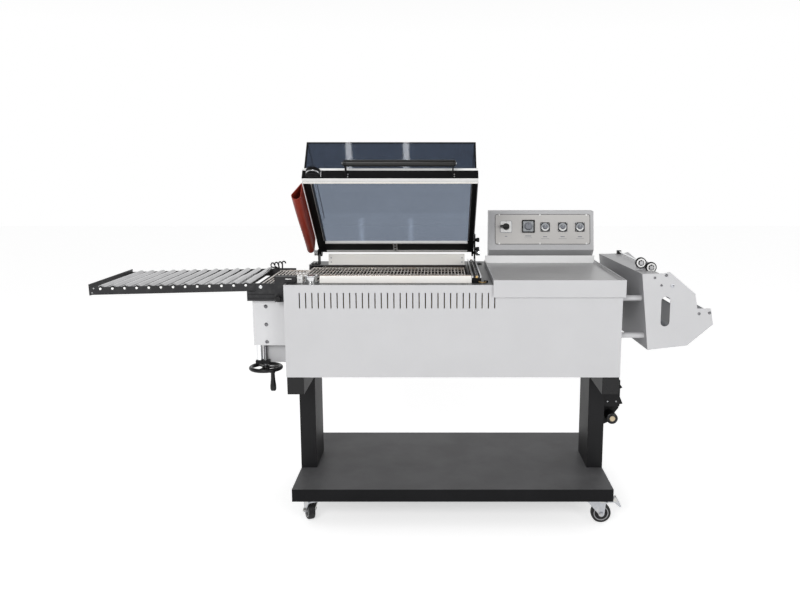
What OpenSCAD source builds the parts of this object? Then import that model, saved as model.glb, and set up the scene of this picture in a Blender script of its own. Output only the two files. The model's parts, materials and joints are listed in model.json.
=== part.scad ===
// L-bar sealing and heat shrinking machine: a cabinet on a wheeled stand, with a tilting
// hood over the shrink chamber, a roller table on a lift at the left, a work tray with a
// control box at the right and a film cradle on the right side.
// The sizes below are measured from the cabinet: X from its centre line, Y from its front
// face towards the back, Z from the floor. The finished model is shifted so that the origin
// is the middle of the footprint of the whole machine.

/* [Cabinet] */
// Width of the cabinet
cabinet_w = 1200; // [1190:5:1210]
// Depth of the cabinet
cabinet_d = 690; // [685:5:700]
// Height of the cabinet's underside above the floor
cabinet_z = 585; // [580:5:590]
// Height of the cabinet's top deck above the floor
deck_z = 921; // [916:1:926]
// Thickness of the sheet metal
sheet = 3; // [2:0.5:3]
// Number of cooling slots in the front panel
slot_count = 32; // [20:1:32]
// Distance between the slots
slot_pitch = 22.3; // [21:0.1:22.3]

/* [Stand] */
// Depth of the base tray
tray_d = 635; // [620:5:640]
// Height of the base tray's skirt
tray_h = 48; // [40:1:50]
// Height of the castors
castor_h = 104; // [102:1:108]
// Wall of the square tubes
tube_wall = 4; // [3:0.5:5]

/* [Hood] */
// How far the hood stands open, in degrees from closed
hood_open = 38.4; // [30:0.1:40]
// Height of the hood above the sealing plane
hood_h = 174; // [160:1:180]
// Thickness of the acrylic
acrylic = 5; // [4:0.5:6]

/* [Roller table] */
// Length of the table from its pivot to its end plate
table_len = 624; // [610:1:640]
// Number of rollers
roller_count = 13; // [10:1:13]
// Distance between the rollers
roller_pitch = 43.9; // [42:0.1:44]
// Diameter of a roller
roller_d = 25; // [20:1:26]
// Downward slope of the table, in degrees
table_slope = 1.4; // [0:0.1:1.4]

/* [Controls] */
// Diameter of a timer dial
dial_d = 26; // [20:1:30]
// Diameter of the temperature dial
temperature_dial_d = 40; // [34:1:44]
// Diameter of the main switch's knob
switch_d = 28; // [24:1:32]

/* [Hidden] */
$fn = 48;
half_w = cabinet_w / 2;
run_gap = 0.05;          // radial clearance of every shaft in its hole
seal_z = deck_z + 27;    // plane in which the hood's jaws meet the lower ones
mesh_z = deck_z - 8;     // top of the mesh platform at its lowest
chamber_x = [-540, 64];  // outside of the chamber tub
chamber_y = [88, 560];
tub_floor_z = 700;
jaw_y = [50, 82];        // front lower jaw
hood_x = [-552, 93];     // outside of the hood's frame
hinge_y = 594;
hinge_z = deck_z + 48;
hinge_pin_r = 6;
work_x = [141, 609];     // work tray
work_y = [-10, 578];
box_x = [160, 603];      // control box
box_front = [578, 983];  // lower front edge of the box, Y and Z
box_top = [612, 1144];   // upper front edge of the box, Y and Z
box_tilt = atan2(box_top[0] - box_front[0], box_top[1] - box_front[1]);
fascia = [402, 128, 2.5];
fascia_at = [26, 23];    // lower left corner of the fascia on the box's face
// the controls' places across and up the box's face
switch_at = [72.5, 97.5];
temperature_at = [166.5, 99];
timers_at = [[237.5, 96], [311.5, 96], [384.5, 96]];
post_x = [535, 597];
post_y = [232, 421];
beam_x = [538, 598];
beam_z = cabinet_z - 64;
stand_top = castor_h + tray_h;
stem_r = 6;              // swivel stem of a castor
wheel_r = 37.5;
castor_trail = 29;
pedal_pin_r = 1.8;
castor_x = 534;
castor_y = [72, 591];
screw_at = [-695, 105];  // lift screw, on the handwheel's axis
screw_r = 7;
rod_at = [-716, 105];    // lift guide rod
rod_r = 11;
wheel_z = 595;           // height of the handwheel's rim
grip_at = [33, -40];     // crank grip from the handwheel's axis
block_x = [-745, -640];  // beam that carries the roller table
block_y = [64, 490];
block_z = [853, 887.5];
pivot = [-694, 905];     // roller table's pivot, X and Z
rail_y = [70, 484];      // outsides of the table's rails
cradle_y = [10, 643];
cradle_flare = 28;       // how much nearer to the cabinet the cradle's side sheet is at the back
blower_at = [-238, 324];
// side view of a cradle plate, X and Z
cradle_outline = [[667, 959], [743, 961], [764, 966], [858, 888], [868, 835],
    [916, 835], [927, 777], [838, 700], [697, 684]];
cradle_rollers = [[893, 815], [800, 738]];
film_wheels = [[684, 987], [722, 970]];
left_end = pivot[0] - table_len * cos(table_slope) - 23 * sin(table_slope);
mid_x = (left_end + 927) / 2;
mid_y = (work_y[0] + cabinet_d) / 2;

ROLLERS = [for (i = [1:13]) str("table_roller_", i)];
CORNERS = ["front_left", "front_right", "rear_left", "rear_right"];
// direction of each castor's trail, in degrees from +X
TRAILS = [115, 0, 200, 40];

// ---- frames of reference ----

module in_place(c) {
    color(c) translate([-mid_x, -mid_y, 0]) children();
}

// A box given by its two corners
module block(low, high) {
    translate(low) cube(high - low);
}

// A closed box section with walls of the given thickness
module tube(low, high, wall) {
    w = [wall, wall, wall];
    difference() {
        block(low, high);
        block(low + w, high - w);
    }
}

// A cylinder from one point along +X, +Y or +Z
module bar_x(p, len, r) {
    translate(p) rotate([0, 90, 0]) cylinder(r = r, h = len);
}

module bar_y(p, len, r) {
    translate(p) rotate([-90, 0, 0]) cylinder(r = r, h = len);
}

module bar_z(p, len, r) {
    translate(p) cylinder(r = r, h = len);
}

// An outline given as X and Z, drawn out from y0 to y1
module along_y(y0, y1) {
    translate([0, y1, 0]) rotate([90, 0, 0]) linear_extrude(y1 - y0) children();
}

// An outline given as Y and Z, drawn out from x0 to x1
module along_x(x0, x1) {
    translate([x0, 0, 0]) rotate([90, 0, 90]) linear_extrude(x1 - x0) children();
}

// The hood's parts are drawn closed and swung open about the hinge
module hood_pose() {
    translate([0, hinge_y, hinge_z]) rotate([-hood_open, 0, 0])
        translate([0, -hinge_y, -hinge_z]) children();
}

// Flat on the control box's face: X along it, Y up it, Z out of it
module on_face(u, v) {
    translate([box_x[0], box_front[0], box_front[1]]) rotate([90 - box_tilt, 0, 0])
        translate([u, v, 0]) children();
}

// The table's parts are drawn level about the pivot and sloped
module table_pose() {
    translate([pivot[0], 0, pivot[1]]) rotate([0, -table_slope, 0]) children();
}

// ---- stand ----

module base_tray() in_place("#26272a") {
    difference() {
        union() {
            difference() {
                block([-597, 14, castor_h], [597, 14 + tray_d, stand_top]);
                block([-597 + sheet, 14 + sheet, castor_h - 1],
                      [597 - sheet, 14 + tray_d - sheet, stand_top - sheet]);
            }
            for (x = [-1, 1], y = castor_y)
                translate([x * castor_x, y, castor_h]) translate([-60, -55, 0]) cube([120, 110, 6]);
        }
        for (x = [-1, 1], y = castor_y)
            bar_z([x * castor_x, y, castor_h - 1], 20, stem_r + run_gap);
    }
}

module stand_frame() in_place("#2b2c2f") {
    for (side = [0, 1]) mirror([side, 0, 0]) {
        tube([post_x[0], post_y[0], stand_top], [post_x[1], post_y[1], beam_z], tube_wall);
        tube([beam_x[0], 2, beam_z], [beam_x[1], cabinet_d - 10, cabinet_z], tube_wall);
    }
}

// Fork of a castor, with its stem along +Z at the origin and its trail along +X
module castor_fork(i) {
    c = CORNERS[i];
    x = (i % 2 == 0 ? -1 : 1) * castor_x;
    y = castor_y[i < 2 ? 0 : 1];
    in_place("#c9ced4") translate([x, y, 0]) rotate([0, 0, TRAILS[i]]) {
        bar_z([0, 0, 92], castor_h - 92 + 5, stem_r);
        difference() {
            bar_z([0, 0, 88], 14, 26);
            bar_z([0, 0, 99], 4, 21);
        }
        block([-24, -19, 84], [34, 19, 88]);
        for (s = [0, 1]) mirror([0, s, 0]) {
            along_y(16, 19) {
                polygon([[-24, 86], [44, 86], [44, 74], [castor_trail + 11, wheel_r],
                         [castor_trail - 11, wheel_r]]);
                translate([castor_trail, wheel_r]) circle(r = 11);
            }
            bar_y([castor_trail, 19, wheel_r], 4, 8);
        }
        bar_y([castor_trail, -19, wheel_r], 38, 5);
        if (i < 2) difference() {
            block([28, -19, 80], [52, 19, 84]);
            block([42, -10, 79], [53, 10, 85]);
        }
        if (i < 2) bar_y([48, -18, 82], 36, pedal_pin_r);
    }
}

module castor_wheel(i) {
    x = (i % 2 == 0 ? -1 : 1) * castor_x;
    y = castor_y[i < 2 ? 0 : 1];
    in_place("#1d1d1f") translate([x, y, 0]) rotate([0, 0, TRAILS[i]])
        translate([castor_trail, 0, wheel_r]) rotate([90, 0, 0])
        rotate_extrude() polygon([[5 + run_gap, -15], [11, -15], [11, -11], [26, -11],
            [26, -13], [33, -13], [wheel_r - 2, -11], [wheel_r, -8], [wheel_r, 8],
            [wheel_r - 2, 11], [33, 13], [26, 13], [26, 11], [11, 11], [11, 15],
            [5 + run_gap, 15]]);
}

// Pedal of a front castor: it turns on the pin at the fork's back edge
module brake_pedal(i) {
    in_place("#9a9da1") translate([(i == 0 ? -1 : 1) * castor_x, castor_y[0], 0])
        rotate([0, 0, TRAILS[i]]) translate([48, 0, 82]) difference() {
            union() {
                bar_y([0, -9, 0], 18, 5);
                along_y(-9, 9) polygon([[0, 4.5], [24, 2], [33, 19], [38, 17], [58, -19],
                    [52, -22], [30, -4], [0, -4.5]]);
            }
            bar_y([0, -10, 0], 20, pedal_pin_r + run_gap);
        }
}

// ---- cabinet ----

module front_panel() in_place("#d5d5d8") {
    difference() {
        block([-half_w, 0, cabinet_z], [half_w, sheet, deck_z]);
        for (i = [0:slot_count - 1])
            block([-547 + i * slot_pitch, -1, 837], [-543 + i * slot_pitch, sheet + 1, 893]);
    }
}

module cabinet_shell() in_place("#d5d5d8") {
    for (side = [0, 1]) mirror([side, 0, 0]) difference() {
        block([half_w - sheet, sheet, cabinet_z], [half_w, cabinet_d, deck_z]);
        // the mesh platform passes out over the left side
        if (side == 1) block([half_w - 5, chamber_y[0] - 4, mesh_z - 16],
                             [half_w + 1, chamber_y[1] + 4, deck_z + 1]);
    }
    block([-half_w + sheet, sheet, cabinet_z],
          [half_w - sheet, cabinet_d - sheet, cabinet_z + sheet]);
    // back sheet with the cable gland behind it
    difference() {
        union() {
            block([-half_w + sheet, cabinet_d - sheet, cabinet_z],
                  [half_w - sheet, cabinet_d, deck_z]);
            bar_y([300, cabinet_d - 19, 608], 17, 13);
        }
        bar_y([300, cabinet_d - 20, 608], 22, 6.5);
    }
}

module top_deck() in_place("#4b4d50") {
    difference() {
        block([-half_w + sheet, sheet, deck_z - sheet],
              [half_w - sheet, cabinet_d - sheet, deck_z]);
        block([-half_w, chamber_y[0] - 0.2, deck_z - sheet - 1],
              [chamber_x[1] + 0.2, chamber_y[1] + 0.2, deck_z + 1]);
    }
    // channel of the side jaw, with its two edges
    block([68, jaw_y[0], deck_z], [101, chamber_y[1], seal_z - 5]);
    for (x = [68, 98]) block([x, jaw_y[0], seal_z - 5], [x + 3, chamber_y[1], seal_z - 1]);
}

module chamber_tub() in_place("#c7c4bd") {
    difference() {
        block([chamber_x[0], chamber_y[0], tub_floor_z - 4],
              [chamber_x[1], chamber_y[1], deck_z - sheet]);
        block([chamber_x[0] + 4, chamber_y[0] + 4, tub_floor_z],
              [chamber_x[1] - 4, chamber_y[1] - 4, deck_z]);
        block([chamber_x[0] - 1, chamber_y[0] - 1, mesh_z - 17],
              [chamber_x[0] + 5, chamber_y[1] + 1, deck_z]);
        bar_z([blower_at[0], blower_at[1], tub_floor_z - 5], 10, 8);
    }
    // apron from the tub to the cabinet's left side
    block([-half_w + sheet, chamber_y[0], mesh_z - 20],
          [chamber_x[0], chamber_y[1], mesh_z - 17]);
}

// One hairpin element: two legs and a bend at the left
module hairpin(y) {
    for (dy = [0, 40]) bar_x([-440, y + dy, 820], chamber_x[1] - 4 + 440, 5);
    translate([-440, y + 20, 820]) rotate([0, 0, 90])
        rotate_extrude(angle = 180) translate([20, 0]) circle(r = 5);
}

module heater_elements() in_place("#8a8178") {
    for (y = [130, 220, 390, 480]) hairpin(y);
}

module fan_motor() in_place("#5c6066") {
    translate([blower_at[0], blower_at[1], 0]) difference() {
        union() {
            bar_z([0, 0, 600], 90, 60);
            bar_z([0, 0, 690], 6, 72);
        }
        bar_z([0, 0, 606], 100, 6 + run_gap);
    }
}

module blower_wheel() in_place("#b9bcc0") {
    translate([blower_at[0], blower_at[1], 0]) {
        bar_z([0, 0, 610], 150, 6);
        bar_z([0, 0, 708], 40, 16);
        bar_z([0, 0, 708], 3, 100);
        for (i = [0:19]) rotate([0, 0, i * 18])
            translate([76, -1.5, 711]) cube([22, 3, 50]);
        difference() {
            bar_z([0, 0, 761], 3, 100);
            bar_z([0, 0, 760], 5, 74);
        }
    }
}

module sealing_transformer() in_place("#7a5a3a") {
    z = cabinet_z + sheet;
    block([300, 200, z], [420, 300, z + 24]);
    block([300, 200, z + 86], [420, 300, z + 110]);
    for (x = [300, 348, 396]) block([x, 200, z + 24], [x + 24, 300, z + 86]);
    for (x = [330, 378]) block([x - 4, 188, z + 27], [x + 16, 198, z + 83]);
    for (x = [326, 374]) block([x, 198, z + 28], [x + 20, 200, z + 82]);
}

// ---- lower jaws and magnet ----

module lower_jaws() in_place("#f2ece0") {
    block([-479, jaw_y[0], deck_z], [66, jaw_y[1], seal_z - 1]);
    block([-516, 562, deck_z], [57, 578, deck_z + 45]);
}

module holding_magnet() in_place("#dfe2e6") {
    bar_z([-512, 68, deck_z], seal_z - 2 - deck_z, 24);
    block([-560, 52, deck_z], [-541, 76, deck_z + 23]);
}

// ---- work tray and control box ----

module work_tray() in_place("#a7a8aa") {
    rim_z = deck_z + 19;
    block([work_x[0], work_y[0], rim_z - 62], [work_x[1], work_y[0] + sheet, rim_z]);
    block([work_x[1] - sheet, work_y[0] + sheet, rim_z - 62], [work_x[1], work_y[1], rim_z]);
    block([work_x[0], work_y[0] + sheet, deck_z], [work_x[0] + sheet, work_y[1], rim_z]);
    block([work_x[0] + sheet, work_y[0] + sheet, deck_z + 4],
          [work_x[1] - sheet, work_y[1] - sheet, deck_z + 7]);
    block([work_x[0] + sheet, work_y[1] - sheet, deck_z], [work_x[1] - sheet, work_y[1], rim_z + 19]);
}

module control_box() in_place("#cfcfd2") {
    back = cabinet_d - 10;
    along_x(box_x[0], box_x[0] + sheet) box_side(back);
    along_x(box_x[1] - sheet, box_x[1]) box_side(back);
    difference() {
        along_x(box_x[0] + sheet, box_x[1] - sheet) difference() {
            box_side(back);
            polygon([[box_front[0] + 3.2, box_front[1] + 1], [box_top[0] + 2.6, box_top[1] - sheet],
                     [back - sheet, box_top[1] - sheet], [back - sheet, deck_z + sheet],
                     [611, deck_z + sheet], [611, 956]]);
        }
        for (p = concat([switch_at, temperature_at], timers_at))
            on_face(p[0], p[1]) translate([0, 0, -9]) cylinder(r = 3.4, h = 20);
    }
}

// Side view of the control box
module box_side(back) {
    polygon([box_front, box_top, [back, box_top[1]], [back, deck_z], [608, deck_z], [608, 955]]);
}

module rounded_plate(w, h, t, r) {
    linear_extrude(t) {
        translate([r, 0]) square([w - 2 * r, h]);
        translate([0, r]) square([w, h - 2 * r]);
        for (x = [r, w - r], y = [r, h - r]) translate([x, y]) circle(r = r);
    }
}

module control_fascia() in_place("#cbc8c4") {
    difference() {
        union() {
            on_face(fascia_at[0], fascia_at[1]) rounded_plate(fascia[0], fascia[1], fascia[2], 9);
            on_face(switch_at[0] - 25, switch_at[1] - 25) rounded_plate(50, 50, 5, 5);
            on_face(temperature_at[0] - 27, temperature_at[1] - 27) rounded_plate(54, 54, 8, 3);
            for (p = timers_at) on_face(p[0] - 19.5, p[1] - 19.5) rounded_plate(39, 39, 7, 3);
        }
        for (p = concat([switch_at, temperature_at], timers_at))
            on_face(p[0], p[1]) translate([0, 0, -1]) cylinder(r = 3 + run_gap, h = 12);
    }
}

// A knob on a shaft that runs through the fascia
module dial(at, r, z, h) {
    on_face(at[0], at[1]) {
        translate([0, 0, -8]) cylinder(r = 3, h = z + 9);
        translate([0, 0, z]) cylinder(r = r, h = h);
        translate([-1.5, r * 0.2, z + h]) cube([3, r * 0.7, 1]);
    }
}

module main_switch() in_place("#1b1b1d") {
    on_face(switch_at[0], switch_at[1]) {
        translate([0, 0, -8]) cylinder(r = 3, h = 15);
        translate([0, 0, 5.3]) cylinder(r = switch_d / 2, h = 9);
        translate([-27, -5, 14.3]) cube([39, 10, 9]);
    }
}

module temperature_dial() in_place("#8e9296") {
    dial(temperature_at, temperature_dial_d / 2, 8.3, 8);
}

module timer_dial(i) in_place("#9a9ca0") {
    dial(timers_at[i - 1], dial_d / 2, 7.3, 10);
}

// ---- hood ----

module hinge_brackets() in_place("#1e1e20") {
    block([-562, 574, deck_z], [-556, 614, hinge_z + 16]);
    block([-590, 574, deck_z], [-562, 614, deck_z + 4]);
    bar_x([-562, hinge_y, hinge_z], 16.5, hinge_pin_r);
    block([97, 574, deck_z], [103, 614, hinge_z + 79]);
    block([103, 574, deck_z], [130, 614, deck_z + 4]);
    bar_x([86.5, hinge_y, hinge_z], 16, hinge_pin_r);
    bar_x([103, 598, 985], 16, 7);
    bar_x([103, 590, 1024], 5, 7);
}

module hood_frame() in_place("#232426") hood_pose() {
    tube([hood_x[0], 54, seal_z], [hood_x[1], 84, seal_z + 47], sheet);
    tube([hood_x[0], 84, seal_z], [hood_x[0] + 32, 556, seal_z + 30], sheet);
    tube([hood_x[1] - 25, 84, seal_z], [hood_x[1], 556, seal_z + 30], sheet);
    tube([hood_x[0] + 32, 485, seal_z], [hood_x[1] - 25, 556, seal_z + 10], sheet);
    for (x = [hood_x[0], hood_x[1] - 6]) difference() {
        union() {
            block([x, 556, seal_z + 3], [x + 6, hinge_y, seal_z + 30]);
            bar_x([x, hinge_y, hinge_z], 6, 14);
        }
        bar_x([x - 1, hinge_y, hinge_z], 8, hinge_pin_r + run_gap);
    }
    // armature that the holding magnet grips
    difference() {
        bar_z([-512, 54, seal_z + 6], 30, 27);
        block([-540, 54, seal_z], [-480, 90, seal_z + 40]);
    }
}

module hood_glazing() in_place([0.35, 0.4, 0.5, 0.5]) hood_pose() {
    x0 = hood_x[0] + 5;
    x1 = hood_x[1] - 6;
    top = seal_z + hood_h;
    block([x0, 58, seal_z + 47], [x1, 58 + acrylic, top]);
    block([x0, 58 + acrylic, top - acrylic], [x1, 556, top]);
    for (x = [x0, x1 - acrylic]) {
        block([x, 84, seal_z + 30], [x + acrylic, 556, top - acrylic]);
        block([x, 58 + acrylic, seal_z + 47], [x + acrylic, 84, top - acrylic]);
    }
    block([x0 + acrylic, 556 - acrylic, seal_z + 30], [x1 - acrylic, 556, top - acrylic]);
    block([hood_x[0] + 32, 556 - acrylic, seal_z + 10], [hood_x[1] - 25, 556, seal_z + 30]);
}

module hood_handle() in_place("#161617") hood_pose() {
    bar_x([-402, 4, seal_z + 32], 413, 12.5);
    for (x = [-392, -3]) along_x(x, x + 5)
        polygon([[54, seal_z + 2], [54, seal_z + 24], [10, seal_z + 42], [-2, seal_z + 24]]);
}

// Silicone sheet that hangs in a loop from the hood's left edge and closes the way out
module exit_curtain() in_place("#8c2b1f") hood_pose() along_y(84, 450) difference() {
    hull() {
        translate([hood_x[0] - 20, seal_z - 52]) circle(r = 18);
        translate([hood_x[0] - 3.5, seal_z + 1]) circle(r = 2.5);
    }
    hull() {
        translate([hood_x[0] - 20, seal_z - 52]) circle(r = 15.5);
        translate([hood_x[0] - 4, seal_z - 6]) circle(r = 0.5);
    }
}

// ---- lift, mesh platform and roller table ----

module lift_guide() in_place("#d5d5d8") {
    block([-604, 110, 612], [-half_w, 160, 690]);
    block([-705, 118.5, 612], [-604, 124, 845]);
    difference() {
        block([-730, 92, 612], [-680, 118.5, 624]);
        bar_z([screw_at[0], screw_at[1], 611], 20, screw_r + run_gap);
    }
    bar_z([rod_at[0], rod_at[1], 624], 221, rod_r);
}

module lift_carriage() in_place("#3a3b3d") {
    // cover over the guide
    block([-731, 84, 684], [-606, 87, 850]);
    block([-731, 87, 684], [-728, 147, 850]);
    block([-731, 147, 684], [-606, 150, 850]);
    block([-731, 84, 850], [-606, 150, 853]);
    // nut and bush block
    difference() {
        block([-728, 87, 700], [-682, 117.5, 745]);
        bar_z([screw_at[0], screw_at[1], 699], 50, screw_r + run_gap);
        bar_z([rod_at[0], rod_at[1], 699], 50, rod_r + run_gap);
    }
    // beam under the table, with the ears of its pivot
    tube([block_x[0], block_y[0], block_z[0]], [block_x[1], block_y[1], block_z[1]], tube_wall);
    for (y = [block_y[0], block_y[1] - 5.5])
        block([-712, y, block_z[1]], [block_x[1], y + 5.5, 917]);
    bar_y([pivot[0], block_y[0] - 3, pivot[1]], 17, 4);
    bar_y([pivot[0], block_y[1] - 14, pivot[1]], 17, 4);
    // arm over the cabinet's edge to the mesh platform
    block([block_x[1], 40, block_z[0]], [-603, 80, seal_z - 3]);
    block([-603, 40, deck_z + 2], [-564, 80, seal_z - 3]);
    block([-603, 80, deck_z + 2], [-575, 104, deck_z + 6]);
    block([-603, 98, mesh_z], [-575, 104, deck_z + 2]);
    block([-650, 100, block_z[1]], [-643, 466, mesh_z - 12]);
}

// Rectangular frame with cross bars and, on top of them, rods from front to back
module mesh_part(x0, x1, y1, bars, rods) {
    low = mesh_z - 12;
    y0 = 98;
    for (y = [y0, y1 - 6]) block([x0, y, low], [x1, y + 6, mesh_z]);
    for (x = bars) block([x, y0 + 6, low], [x + 6, y1 - 6, mesh_z - 4]);
    for (i = [0:rods - 1])
        block([x0 + 1 + i * 20.3, y0 + 6, mesh_z - 4], [x0 + 5 + i * 20.3, y1 - 6, mesh_z]);
}

module mesh_platform() in_place("#9b9a96") {
    // the outlet, narrow enough for the table's bearings, and the bed in the chamber
    mesh_part(-700, -580, 468, [-700, -586], 6);
    mesh_part(-580, 54, 550, [-580, -374, -168, 48], 31);
}

module handwheel() in_place("#151516") {
    translate([screw_at[0], screw_at[1], 0]) {
        translate([0, 0, wheel_z]) rotate_extrude() translate([55, 0]) circle(r = 7.5);
        bar_z([0, 0, 586], 17, 14);
        bar_z([0, 0, 603], 197, screw_r);
        for (a = [10, 130, 250]) rotate([0, 0, a]) bar_x([10, 0, wheel_z], 42, 5);
        translate([grip_at[0], grip_at[1], 0]) {
            bar_z([0, 0, 584], 11, 9);
            bar_z([0, 0, 518], 70, 4);
            bar_z([0, 0, 515], 3, 7);
        }
    }
}

module crank_grip() in_place("#1a1a1b") {
    translate([screw_at[0] + grip_at[0], screw_at[1] + grip_at[1], 0])
        rotate_extrude() polygon([[4 + run_gap, 518.5], [9, 518.5], [11, 524], [11, 536],
            [8, 560], [7, 583.5], [4 + run_gap, 583.5]]);
}

module table_frame() in_place("#3b3d40") table_pose() {
    difference() {
        union() for (side = [0, 1]) {
            y = side == 0 ? rail_y[0] : rail_y[1] - 3;
            along_y(y, y + 3) {
                translate([-table_len + 4, -16]) square([table_len - 4, 28]);
                circle(r = 12);
            }
            block([-table_len + 4, side == 0 ? y + 3 : y - 12, -16],
                  [-30, side == 0 ? y + 15 : y, -13]);
        }
        for (i = [0:roller_count - 1])
            bar_y([-55 - i * roller_pitch, 60, 6], 440, 4 + run_gap);
        bar_y([0, 60, 0], 440, 4 + run_gap);
    }
    block([-table_len, rail_y[0], -18], [-table_len + 4, rail_y[1], 23]);
}

module table_roller(i) in_place("#d9dce0") table_pose() {
    x = -55 - (i - 1) * roller_pitch;
    bar_y([x, 74.5, 6], 405, roller_d / 2);
    bar_y([x, 69.5, 6], 415, 4);
    bar_y([x, 66, 6], 3.5, 6);
    bar_y([x, 484.5, 6], 3.5, 6);
}

// ---- film cradle ----

module film_cradle() in_place("#d0d1d4") {
    y0 = cradle_y[0] + sheet;
    y1 = cradle_y[1] - sheet;
    difference() {
        for (y = [cradle_y[0], y1]) along_y(y, y + sheet) difference() {
            union() {
                polygon(cradle_outline);
                if (y == y1) polygon([[667 - cradle_flare, 959], [700, 959], [720, 684],
                                      [697 - cradle_flare, 684]]);
            }
            for (z = [786, 862]) translate([755, z]) circle(r = 16);
            translate([739, 786]) square([32, 76]);
        }
        for (p = cradle_rollers) bar_y([p[0], 0, p[1]], 660, 6 + run_gap);
    }
    // side sheet and cover, which flare towards the cabinet at the back
    polyhedron([for (end = [[0, y0], [cradle_flare, y1]], p = [[667, 959], [670, 959], [700, 684],
                [697, 684]]) [p[0] - end[0], end[1], p[1]]],
               [[0, 1, 2, 3], [7, 6, 5, 4], [0, 4, 5, 1], [1, 5, 6, 2], [2, 6, 7, 3], [3, 7, 4, 0]]);
    difference() {
        translate([0, 0, 956]) linear_extrude(3)
            polygon([[669, y0], [732, y0], [732, y1], [669 - cradle_flare, y1]]);
        block([694, 86, 950], [740, 126, 970]);
    }
    // sheet under the roll
    along_y(y0, y1) polygon([[838, 700], [915, 766.6], [913, 768.9], [836, 702.3]]);
    // axles of the two film wheels on their bracket
    along_y(116, 120) polygon([[671, 959], [694, 959], [694, 948], [735, 948], [735, 976],
        [694, 1000], [671, 1000]]);
    for (p = film_wheels) {
        bar_y([p[0], 97, p[1]], 19, 4);
        bar_y([p[0], 95, p[1]], 2, 7);
    }
    // four rods to the cabinet's right side
    for (y = [50, 600], z = [867, 730]) {
        reach = 667 + (959 - z) * 30 / 275 - cradle_flare * (y - y0) / (y1 - y0);
        bar_x([half_w, y, z], reach + 1.5 - half_w, 10);
        bar_x([half_w, y, z], 5, 18);
    }
}

module cradle_roller(i) in_place("#8d9094") {
    p = cradle_rollers[i - 1];
    bar_y([p[0], cradle_y[0] + sheet + 1.5, p[1]], cradle_y[1] - cradle_y[0] - 2 * sheet - 3, 17);
    bar_y([p[0], cradle_y[0] - 2, p[1]], cradle_y[1] - cradle_y[0] + 4, 6);
}

module film_wheel(i) in_place("#ececec") {
    p = film_wheels[i - 1];
    translate([p[0], 106, p[1]]) rotate([90, 0, 0]) rotate_extrude()
        polygon([[4 + run_gap, -8], [8, -8], [8, -5], [16, -5], [16, -7], [20, -7], [20, 7],
            [16, 7], [16, 5], [8, 5], [8, 8], [4 + run_gap, 8]]);
}

// Small geared motor on a bracket outside the right post
module side_motor() in_place("#2a2826") {
    along_y(300, 306) polygon([[597, 512], [655, 519], [657, 494], [682, 461], [673, 456],
        [673, 423], [685, 394], [669, 391], [669, 377], [654, 357], [651, 330], [645, 325],
        [607, 308], [597, 300]]);
    block([post_x[1], 246, 400], [660, 300, 505]);
    bar_y([632, 236, 352], 64, 22);
}

base_tray();
stand_frame();
front_panel();
cabinet_shell();
top_deck();
chamber_tub();
heater_elements();
fan_motor();
blower_wheel();
sealing_transformer();
lower_jaws();
holding_magnet();
work_tray();
control_box();
control_fascia();
main_switch();
temperature_dial();
for (i = [1:3]) timer_dial(i);
hinge_brackets();
hood_frame();
hood_glazing();
hood_handle();
exit_curtain();
lift_guide();
lift_carriage();
mesh_platform();
handwheel();
crank_grip();
table_frame();
for (i = [1:roller_count]) table_roller(i);
film_cradle();
for (i = [1:2]) cradle_roller(i);
for (i = [1:2]) film_wheel(i);
side_motor();
brake_pedal(0);  // brake_pedal_left
brake_pedal(1);  // brake_pedal_right
for (i = [0:3]) castor_fork(i);
for (i = [0:3]) castor_wheel(i);
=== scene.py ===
"""Looks of an L-bar sealing and shrink wrapping machine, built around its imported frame."""

import json
import math
import random

import bmesh
import bpy
from mathutils import Matrix, Vector


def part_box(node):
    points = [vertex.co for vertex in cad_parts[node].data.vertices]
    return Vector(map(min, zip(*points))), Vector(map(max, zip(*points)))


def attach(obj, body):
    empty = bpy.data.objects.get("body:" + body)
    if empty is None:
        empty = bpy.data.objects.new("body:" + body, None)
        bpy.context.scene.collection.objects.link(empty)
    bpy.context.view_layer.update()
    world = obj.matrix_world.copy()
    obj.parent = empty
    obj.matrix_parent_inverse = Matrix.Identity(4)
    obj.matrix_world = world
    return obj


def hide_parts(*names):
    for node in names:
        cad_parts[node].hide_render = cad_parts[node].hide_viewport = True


bl_info = {
    "name": "Shrink Wrapping Machine",
    "version": (1, 0, 0),
    "blender": (4, 5, 0),
    "location": "3D Viewport > Sidebar > Wrapper",
    "description": "Builds the visible pieces and finishes of a shrink wrapping machine",
    "category": "Add Mesh",
}

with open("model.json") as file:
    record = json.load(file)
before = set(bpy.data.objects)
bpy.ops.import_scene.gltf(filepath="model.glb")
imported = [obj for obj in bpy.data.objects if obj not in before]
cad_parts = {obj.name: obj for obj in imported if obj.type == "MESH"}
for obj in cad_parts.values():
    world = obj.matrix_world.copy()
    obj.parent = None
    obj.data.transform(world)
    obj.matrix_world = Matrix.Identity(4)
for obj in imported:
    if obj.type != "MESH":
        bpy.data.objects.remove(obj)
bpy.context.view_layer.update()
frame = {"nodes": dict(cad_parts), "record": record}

MM = 0.001
MACHINE = "machine"
ORIGIN = Vector((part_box("front_panel")[0][0] + 0.6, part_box("front_panel")[0][1], 0.0))
CABINET = Matrix.Translation(ORIGIN) @ Matrix.Scale(MM, 4)
HINGE_Y, HINGE_Z = 594.0, 969.0
HOOD_OPEN = next(
    j["range_deg"][1] for j in frame["record"]["behaviour"]["joints"] if j["name"] == "hood_hinge"
)
HINGE = Matrix.Translation((0, HINGE_Y, HINGE_Z))
HOOD = CABINET @ HINGE @ Matrix.Rotation(math.radians(-HOOD_OPEN), 4, "X") @ HINGE.inverted()
BOX_TILT = math.atan2(34, 161)
FACE = (
    CABINET
    @ Matrix.Translation((160, 578, 983))
    @ Matrix.Rotation(math.pi / 2 - BOX_TILT, 4, "X")
)
SWITCH = (72.5, 97.5)
METER = (166.5, 99.0)
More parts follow.
